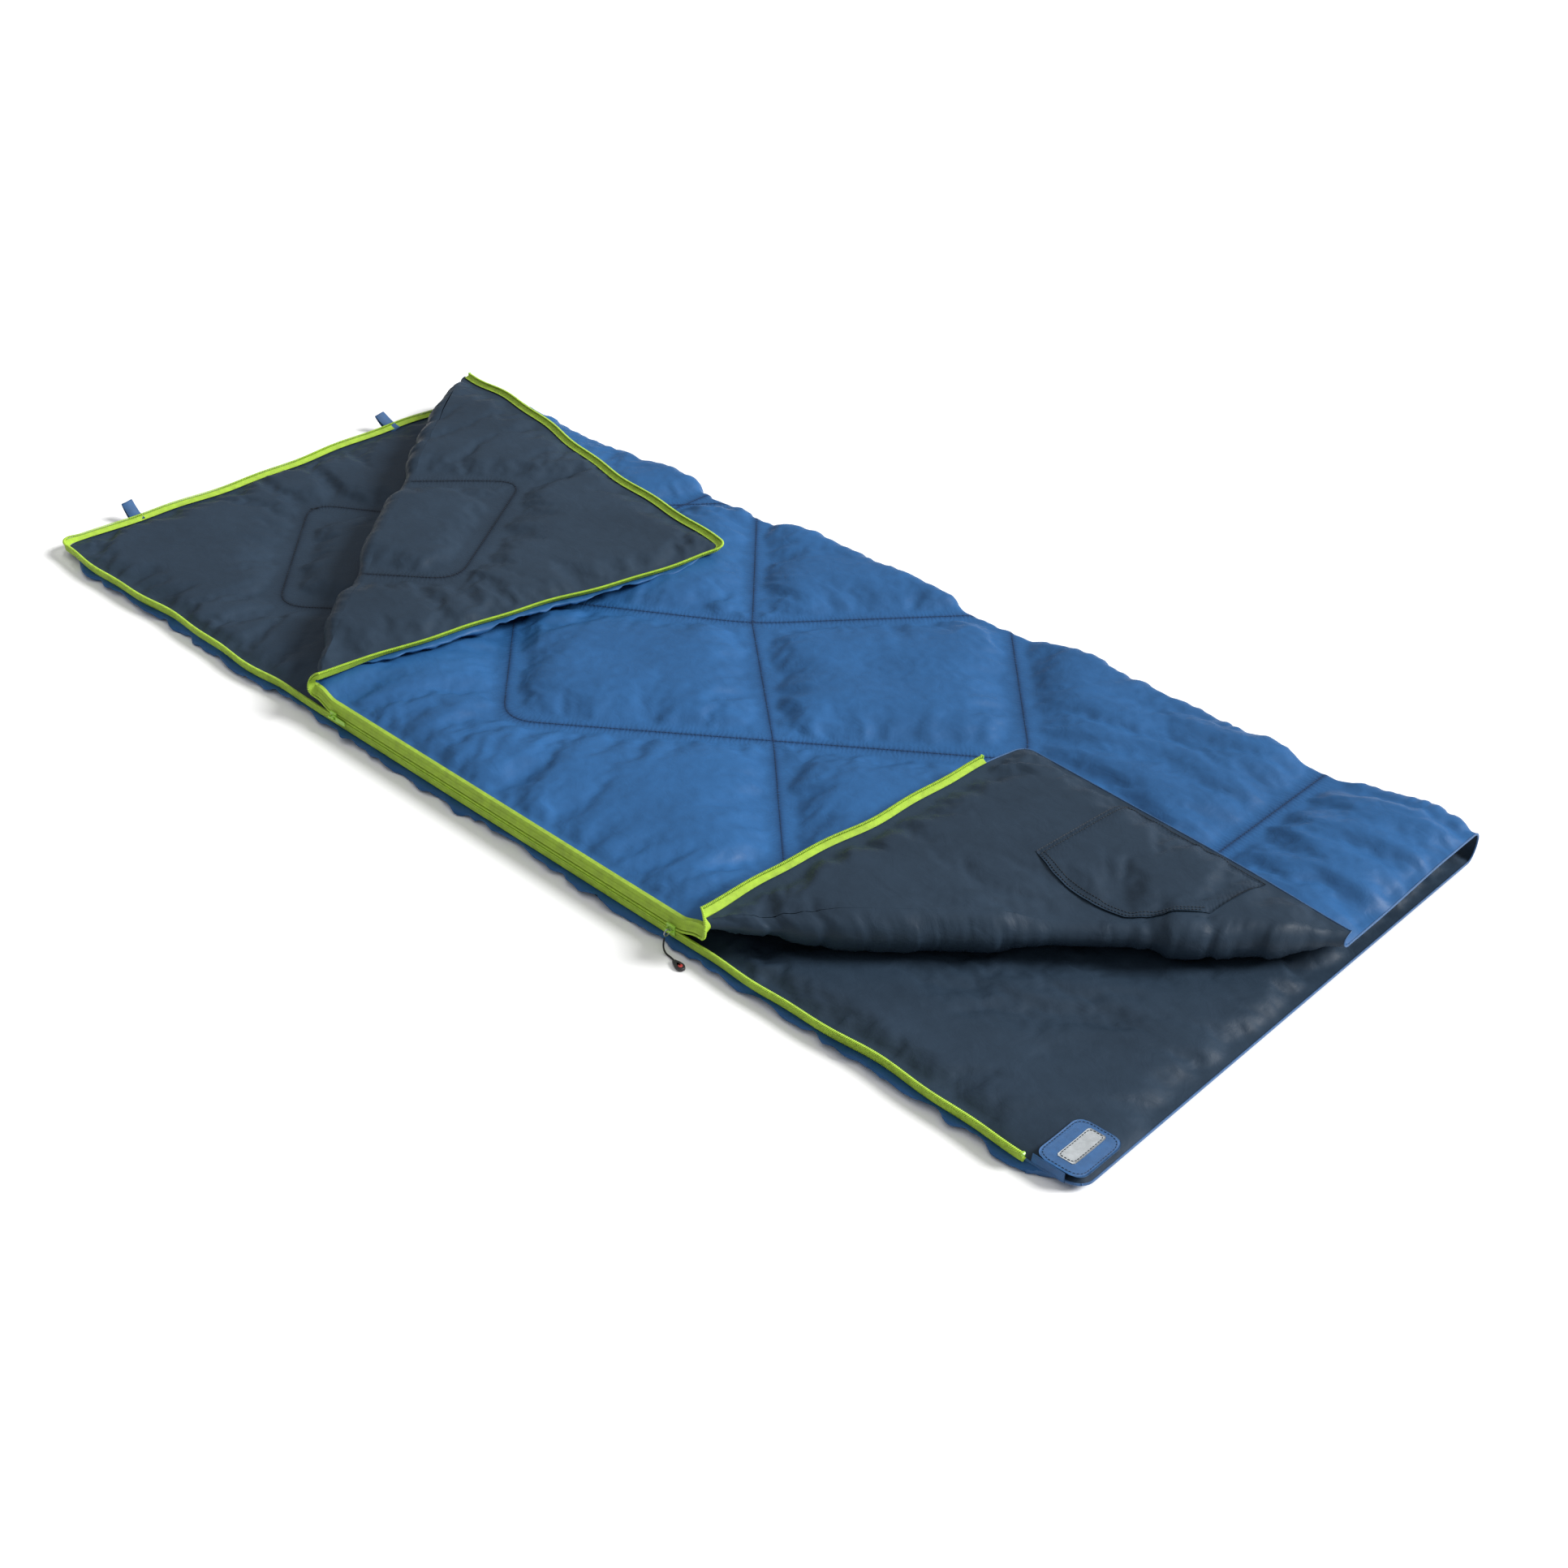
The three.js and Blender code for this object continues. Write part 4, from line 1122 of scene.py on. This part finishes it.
def add_flap_zip(end, crease, x, w, full_spread, tape_nodes, coil_node):
    """The zip's half on a folded corner, and round its crease."""
    body = f"{end}_flap"
    rest = folded(layer_edge(x, w, True), crease)
    run = np.concatenate([[0], np.cumsum(np.linalg.norm(np.diff(rest.base, axis=0), axis=1))])
    rest.up *= 1 - LEANING * smooth_step((run - 0.02) / 0.1)[:, None]
    spread = full_spread * smooth_step((run - 0.01) / 0.12)
    add_tape(f"{end}_flap_zip_tape", rest, spread, body, *tape_nodes)
    add_coil(f"{end}_flap_zip_coil", rest, body, 0, coil_node)
    add_tape_stitches(f"{end}_flap_zip_stitches", rest, body, UPRIGHT_ROWS)
    turned = turned_edge(crease, 0)
    wrap = smooth_step(np.linspace(1.6, 0, len(turned.base)))
    tape = add_tape(f"{end}_crease_zip_tape", turned, 0.0, None, wrap=wrap)
    coil = add_coil(f"{end}_crease_zip_coil", turned, None, 0)
    for piece in (tape, coil):
        bend_with(piece)
    return rest


x, w = near_and_foot(True, FOOT.near[0], ZIP_FOOT_Y)
foot_tapes = ["zip_tape_foot_flap", "zip_tape_tail"]
foot_flap_edge = add_flap_zip("foot", FOOT, x, w, 0.45, foot_tapes, "zip_coil_foot_flap")
x = steps(HEAD.near[0], ZIP_HEAD_X, EDGE_STEP)
w = np.full_like(x, SHEET_WIDTH)
head_flap_edge = add_flap_zip("head", HEAD, x, w, 0.3, ["zip_tape_head_flap"], "zip_coil_head_flap")


def add_hem(name, edge, body):
    """A narrow rolled hem over an edge without a zip."""
    turn = np.linspace(0, 2 * math.pi, 10, endpoint=False)
    rings = [edge.at(0.0012 * math.cos(a) - 0.0002, 0.0017 * math.sin(a)) for a in turn]
    points, faces = sweep(np.stack(rings, axis=1))
    return settle(new_object(name, points, faces, ribbon_material), body, "shell_cloth")


def end_edge(end_x, w):
    """The quilt's edge at the foot or the head, round the turned side."""
    base = place_sheet(np.full_like(w, end_x), w, np.zeros_like(w))
    raised = place_sheet(np.full_like(w, end_x), w, np.full_like(w, -0.001))
    out = np.tile([math.copysign(1.0, end_x), 0, 0], (len(w), 1))
    return Edge(base, out, base - raised)


def crease_far_w(crease):
    """Where across the sheet a crease meets the foot or the head edge."""
    return TOP_START + SIDE_Y - (crease.near[1] + crease.run[1] * crease.length)


def add_hems():
    for end, crease, first in (("foot", FOOT, ZIP_FOOT_Y - NEAR_Y - 0.012), ("head", HEAD, 0.0)):
        add_hem(f"{end}_hem", end_edge(crease.end_x, steps(first, crease_far_w(crease), 0.004)), "bag")
        edge = turned_edge(crease, 1)
        hem = add_hem(f"{end}_crease_hem", edge, None)
        bend_with(hem)
    corner = end_edge(HEAD_X, steps(crease_far_w(HEAD), SHEET_WIDTH, 0.004))
    add_hem("head_flap_hem", folded(corner, HEAD), "head_flap")
    near = steps(ZIP_HEAD_X, HEAD_X, 0.002)
    add_hem("lower_corner_hem", layer_edge(near, np.zeros_like(near), False), "bag")
    near_upper = layer_edge(near, np.full_like(near, SHEET_WIDTH), True)
    add_hem("head_flap_corner_hem", folded(near_upper, HEAD), "head_flap")


add_hems()

# ---- seam stitches ----


def add_seam_stitches(name, seams, upper, outward, crease, body, material, slot):
    """Thread along the quilting seams of one side of one part of the quilt: a layer, or the foot corner."""
    paths = []
    normals = []
    for seam in seams:
        plan = spaced(seam, 0.002)
        past_foot = FOOT.across(plan) > 0
        past_head = HEAD.across(plan) > 0
        inside = (plan[:, 1] < SIDE_Y - 0.004) & (plan[:, 1] > NEAR_Y + 0.006)
        keep = inside
        if crease is FOOT:
            keep = inside & past_foot
        elif upper:
            keep = inside & ~past_foot & ~past_head
        starts = np.nonzero(np.diff(np.concatenate([[0], keep.astype(int), [0]])))[0]
        for a, b in zip(starts[::2], starts[1::2], strict=True):
            if b - a < 6:
                continue
            sheet = to_sheet(plan[a:b], upper)
            h = outward * (half_thickness(sheet[:, 0], sheet[:, 1], 0) + 0.0001)
            points = place_sheet(sheet[:, 0], sheet[:, 1], h)
            normal = np.tile([0, 0, (1.0 if upper else -1.0) * outward], (b - a, 1))
            if crease is not None:
                points = crease.fold_back(points)
                normal = -normal
            paths.append(points)
            normals.append(normal)
    settle(stitches(name, paths, normals, material, thick=0.0005), body, slot)


add_seam_stitches("shell_stitches", TOP_SEAMS, True, 1, None, "bag", thread_blue, "shell_cloth")
add_seam_stitches("lining_stitches", BOTTOM_SEAMS, False, -1, None, "bag", thread_dark, "lining_cloth")
add_seam_stitches("foot_flap_stitches", TOP_SEAMS, True, -1, FOOT, "foot_flap", thread_dark, "lining_cloth")

# ---- hanging loops ----


def ribbon(name, centre, across, width, thick, material):
    """A band of cloth along a line of points, with rounded edges; across gives its width's direction."""
    along = unit_vectors(np.gradient(centre, axis=0))
    across = unit_vectors(across - along * np.sum(across * along, axis=1)[:, None])
    up = np.cross(along, across)
    section = [
        (-0.5, -0.2), (-0.47, -0.5), (0.47, -0.5), (0.5, -0.2),
        (0.5, 0.2), (0.47, 0.5), (-0.47, 0.5), (-0.5, 0.2),
    ]
    rings = [centre + across * width * u + up * thick * v for u, v in section]
    points, faces = sweep(np.stack(rings, axis=1))
    return new_object(name, points, faces, material)


def add_hanging_loop(node, lean):
    """A ribbon loop sewn under the foot edge, standing up a little from the floor."""
    low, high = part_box(node)
    middle_y = (low.y + high.y) / 2
    turn = np.linspace(0, 1, 48)
    bow = np.sin(turn * math.pi)
    x = FOOT_X + 0.006 - 0.04 * bow**0.75
    z = 0.0085 + 0.019 * bow**1.3 + 0.0035 * np.cos(turn * math.pi)
    y = middle_y + lean * bow
    centre = np.stack([x, y, z], axis=1)
    across = np.tile([0.0, 1.0, 0.25], (len(turn), 1))
    loop = ribbon(f"{node}_ribbon", centre, across, high.y - low.y - 0.002, 0.0011, ribbon_material)
    settle(loop, "bag", "shell_cloth", node)


add_hanging_loop("hanging_loop_near", 0.004)
add_hanging_loop("hanging_loop_far", -0.003)

# ---- zip stops ----


def add_stop(name, edge, at, body, node):
    """A pressed metal stop clamped on the tape's end."""
    along = unit_vectors(np.gradient(edge.base, axis=0))[at]
    centre = edge.at(COIL_OUT - 0.0002, COIL_DOWN + 0.0002)[at]
    axes = np.stack([along, edge.out[at], np.cross(along, edge.out[at])])
    points, faces = blocks(centre[None], axes[None], (0.0042, 0.0042, 0.0036))
    settle(new_object(name, points, faces, paint_material, smooth=False), body, "steel", node)


add_stop("lower_stop_head", lower_edge, 0, "bag", "zip_stop_bottom_head")
add_stop("lower_stop_foot", lower_edge, -1, "bag", "zip_stop_bottom_foot")
add_stop("foot_flap_stop", foot_flap_edge, -1, "foot_flap", "zip_stop_foot_flap")
add_stop("head_flap_stop", head_flap_edge, -1, "head_flap", "zip_stop_head_flap")

for name in ("foot_slider_body", "head_slider_body", "foot_slider_bail", "head_slider_bail", "foot_pull_tab"):
    bpy.data.objects[name].material_slots[0].material = paint_material
bpy.data.objects["head_pull_ring"].material_slots[0].material = steel_material

# ---- sewn-on cloth: patches, tab, label and pocket ----


def thick_grid(name, middle, thick, material):
    """A closed sheet of even thickness about a grid of points, shape (rows, columns, 3)."""
    rows, columns = middle.shape[:2]
    normal = unit_vectors(np.cross(np.gradient(middle, axis=0), np.gradient(middle, axis=1)))
    inner = np.ones((rows, columns))
    inner[0] = inner[-1] = 0.3
    inner[:, 0] = inner[:, -1] = 0.3
    offset = normal * (thick / 2 * inner)[..., None]
    points = np.concatenate([(middle + offset).reshape(-1, 3), (middle - offset).reshape(-1, 3)])
    top = grid_faces(rows, columns)
    count = rows * columns
    index = np.arange(count).reshape(rows, columns)
    rim = np.concatenate([index[0, :-1], index[:-1, -1], index[-1, :0:-1], index[:0:-1, 0]])
    after = np.roll(rim, -1)
    faces = [tuple(f[::-1]) for f in top] + [tuple(f + count) for f in top]
    faces += [(a, b, b + count, a + count) for a, b in zip(rim, after, strict=True)]
    return new_object(name, points, faces, material)


def rounded_patch(low, high, radius, step=0.0025):
    """Plan places of a rectangle with rounded corners, as a grid: rows go along y."""
    middle = (np.array(low) + np.array(high)) / 2
    half = (np.array(high) - np.array(low)) / 2
    v = steps(-half[1], half[1], step)
    u = steps(-1, 1, step / half[0])
    past = np.maximum(np.abs(v) - (half[1] - radius), 0)
    wide = half[0] - radius + np.sqrt(np.maximum(radius**2 - past**2, 0))
    x = middle[0] + u[None] * wide[:, None]
    y = middle[1] + v[:, None] + 0 * u[None]
    return x, y


def border(x, y, inset):
    """A line inside a patch's outline."""
    rim_x = np.concatenate([x[0, :-1], x[:-1, -1], x[-1, :0:-1], x[:0:-1, 0]])
    rim_y = np.concatenate([y[0, :-1], y[:-1, -1], y[-1, :0:-1], y[:0:-1, 0]])
    middle = np.array([x.mean(), y.mean()])
    half = np.array([np.ptp(x), np.ptp(y)]) / 2
    plan = middle + (np.stack([rim_x, rim_y], axis=1) - middle) * (1 - inset / half)
    return np.concatenate([plan, plan[:1]])


TAB_LOW, TAB_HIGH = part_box("tab_strap")
TAB_REST = 0.0214


def tab_height(x, y):
    """The tab lies a little above the lining, dips along its middle and waves slightly from side to side."""
    from_hinge = y - TAB_LOW.y
    across = (x - (TAB_LOW.x + TAB_HIGH.x) / 2) / 0.03
    dip = 0.0009 * np.sin(np.clip(from_hinge / 0.08, 0, 1) * math.pi)
    return TAB_REST - dip + 0.0005 * np.sin(across * 2.2)


def lay_patch(name, low, high, radius, thick, material, slot, node, lift=0.0):
    """A patch of cloth on the tab, lifted above its middle surface."""
    x, y = rounded_patch(low, high, radius)
    middle = np.stack([x, y, tab_height(x, y) + lift], axis=-1)
    return settle(thick_grid(name, middle, thick, material), "corner_tab", slot, node)


def stitch_patch(name, low, high, radius, inset, lift, material, slot):
    """A run of thread inside a patch's outline."""
    line = border(*rounded_patch(low, high, radius), inset)
    line = np.stack([line[:, 0], line[:, 1], tab_height(line[:, 0], line[:, 1]) + lift], axis=1)
    up = np.tile([0.0, 0, 1], (len(line), 1))
    settle(stitches(name, [line], [up], material), "corner_tab", slot)


def add_corner_tab():
    """The tab with its plain label patch on top and its hook patch underneath."""
    low, high = (TAB_LOW.x, TAB_LOW.y - 0.0018), TAB_HIGH[:2]
    tab = lay_patch("corner_tab_strap", low, high, 0.014, 0.0014, tab_material, "shell_cloth", "tab_strap")
    stitch_patch("corner_tab_stitches", low, high, 0.014, 0.003, 0.0008, thread_blue, "shell_cloth")
    low, high = (corner[:2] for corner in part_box("tab_label"))
    slot = "label_patch"
    lay_patch("corner_tab_label", low, high, 0.002, 0.0007, label_material, slot, "tab_label", 0.0011)
    stitch_patch("corner_label_stitches", low, high, 0.002, 0.002, 0.0015, thread_dark, slot)
    low, high = (corner[:2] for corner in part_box("tab_hook_patch"))
    slot = "hook_cloth"
    lay_patch("corner_tab_hooks", low, high, 0.003, 0.0008, hook_material, slot, "tab_hook_patch", -0.0012)


add_corner_tab()


def add_tab_anchor():
    """The tab's fixed end, from its hinge down round the lower layer's edge."""
    low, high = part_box("tab_anchor")
    x = steps(low.x, high.x, 0.0025)
    w = steps(0.0, 0.02, 0.002)
    grid_x, grid_w = np.meshgrid(x, w, indexing="ij")
    flat_x, flat_w = grid_x.ravel(), grid_w.ravel()
    h = half_thickness(flat_x, flat_w, SHELL_RELIEF) + 0.0012
    under = place_sheet(flat_x, flat_w, h).reshape(len(x), len(w), 3)
    under[:, 0, 1] = np.minimum(under[:, 0, 1], NEAR_Y - 0.001)
    up = np.repeat(under[:, :1], 5, axis=1)
    rise = np.linspace(0, 1, 5)[::-1]
    up[:, :, 2] += rise * (0.0211 - up[:, :, 2])
    up[:, :, 1] += rise * (NEAR_Y - 0.0012 - up[:, :, 1])
    piece = thick_grid("corner_tab_anchor", np.concatenate([up[:, :-1], under], axis=1), 0.0012, tab_material)
    settle(piece, "bag", "shell_cloth", "tab_anchor")


add_tab_anchor()


def add_loop_patch():
    """The patch that the tab's hooks hold, sewn on the shell of the head corner."""
    x, y = rounded_patch((0.917, NEAR_Y + 0.014), (0.955, NEAR_Y + 0.054), 0.003)
    flat_x = x.ravel()
    w = TOP_START + SIDE_Y - y.ravel()
    closed = place_sheet(flat_x, w, half_thickness(flat_x, w, SHELL_RELIEF) + 0.0008)
    middle = HEAD.fold_back(closed).reshape(*x.shape, 3)
    piece = thick_grid("corner_loop_patch", middle, 0.0008, hook_material)
    settle(piece, "head_flap", "hook_cloth", "tab_loop_patch")


add_loop_patch()

POCKET_NEAR = -0.217
POCKET_FAR = -0.012
POCKET_TURN = -0.076
POCKET_HEAD = 0.9595
POCKET_MOUTH = (0.795, 0.763, 0.787)
CREASE_MARGIN = 0.008


def pocket_start(y):
    """Where the pocket begins: its curved mouth, and past the turn its seam beside the crease."""
    t = np.clip((POCKET_TURN - y) / (POCKET_TURN - POCKET_NEAR), 0, 1)
    near, bow, turn = POCKET_MOUTH
    mouth = (1 - t) ** 2 * turn + 2 * t * (1 - t) * bow + t**2 * near
    crease = HEAD.near[0] + (y + CREASE_MARGIN - HEAD.near[1]) * HEAD.run[0] / HEAD.run[1]
    return np.where(y < POCKET_TURN, mouth, np.minimum(crease, POCKET_HEAD - 0.002))


def pocket_points(x, y, lift):
    w = TOP_START + SIDE_Y - y
    closed = place_sheet(x, w, -(half_thickness(x, w, LINING_RELIEF) + lift))
    return HEAD.fold_back(closed)


def add_pocket():
    """A flat pocket on the lining of the head corner, with double-stitched sides."""
    y = steps(POCKET_NEAR, POCKET_FAR, 0.004)
    u = steps(0, 1, 0.024)
    start = pocket_start(y)
    grid_x = start[:, None] + u[None] * (POCKET_HEAD - start)[:, None]
    grid_y = y[:, None] + 0 * u[None]
    side = np.minimum(np.minimum(grid_y - POCKET_NEAR, POCKET_FAR - grid_y), POCKET_HEAD - grid_x)
    full = 0.0006 + 0.0014 * smooth_step(side / 0.02)
    points = pocket_points(grid_x.ravel(), grid_y.ravel(), full.ravel())
    pocket = thick_grid("pocket_panel", points.reshape(len(y), len(u), 3), 0.0006, lining_material)
    twice = np.tile(side.ravel(), 2)
    store_stitching(pocket, np.tile((grid_x + grid_y).ravel(), 2), np.maximum(twice, 0.002) + 0.004)
    settle(pocket, "head_flap", "lining_cloth", "inner_pocket")
    add_pocket_stitches(y)


def add_pocket_stitches(y):
    lines = []
    for inset in (0.003, 0.009):
        mouth = pocket_start(np.array([POCKET_NEAR + inset]))[0]
        along_x = steps(mouth + 0.002, POCKET_HEAD - 0.002, 0.004)
        lines.append((along_x, np.full_like(along_x, POCKET_NEAR + inset)))
        lines.append((pocket_start(y[2:-2]) + inset, y[2:-2]))
    lines.append((np.full_like(y, POCKET_HEAD - 0.003), y))
    paths = [pocket_points(x, line_y, np.full_like(x, 0.0026)) for x, line_y in lines]
    normals = [np.tile([0.0, 0, 1], (len(path), 1)) for path in paths]
    settle(stitches("pocket_stitches", paths, normals, thread_dark), "head_flap", "lining_cloth")


add_pocket()

# ---- floor and light ----


def add_floor():
    size = 60
    floor = new_object(
        "floor", [(-size, -size, 0), (size, -size, 0), (size, size, 0), (-size, size, 0)], [(0, 1, 2, 3)],
    )
    n = Nodes("pale_floor")
    shade = n.ramp(n.noise(n.place, 3, 2), (0.3, (0.9, 0.9, 0.9)), (0.7, (0.92, 0.92, 0.92)))
    floor.data.materials.append(n.finish(shade, Roughness=0.8))


def add_key_light():
    """A large soft lamp far off beyond the head and the far side."""
    data = bpy.data.lights.new("key", "SUN")
    data.energy = 5.0
    data.angle = math.radians(24)
    light = bpy.data.objects.new("key", data)
    light.location = (2.6, 2.4, 2.4)
    light.rotation_euler = light.location.to_track_quat("Z", "Y").to_euler()
    bpy.context.scene.collection.objects.link(light)


def add_world():
    """An even white studio that is brightest overhead."""
    world = bpy.data.worlds.new("studio")
    world.use_nodes = True
    tree = world.node_tree
    direction = tree.nodes.new("ShaderNodeTexCoord")
    split = tree.nodes.new("ShaderNodeSeparateXYZ")
    tree.links.new(direction.outputs["Generated"], split.inputs["Vector"])
    height = tree.nodes.new("ShaderNodeMath")
    height.operation = "POWER"
    height.use_clamp = True
    height.inputs[1].default_value = 3
    tree.links.new(split.outputs["Z"], height.inputs[0])
    strength = tree.nodes.new("ShaderNodeMath")
    strength.operation = "MULTIPLY_ADD"
    strength.inputs[1].default_value = 0.7
    strength.inputs[2].default_value = 0.28
    tree.links.new(height.outputs["Value"], strength.inputs[0])
    tree.links.new(strength.outputs["Value"], tree.nodes["Background"].inputs["Strength"])
    tree.nodes["Background"].inputs["Color"].default_value = (1, 1, 1, 1)
    bpy.context.scene.world = world
    bpy.context.scene.view_settings.view_transform = "Standard"


add_floor()
add_world()
add_key_light()
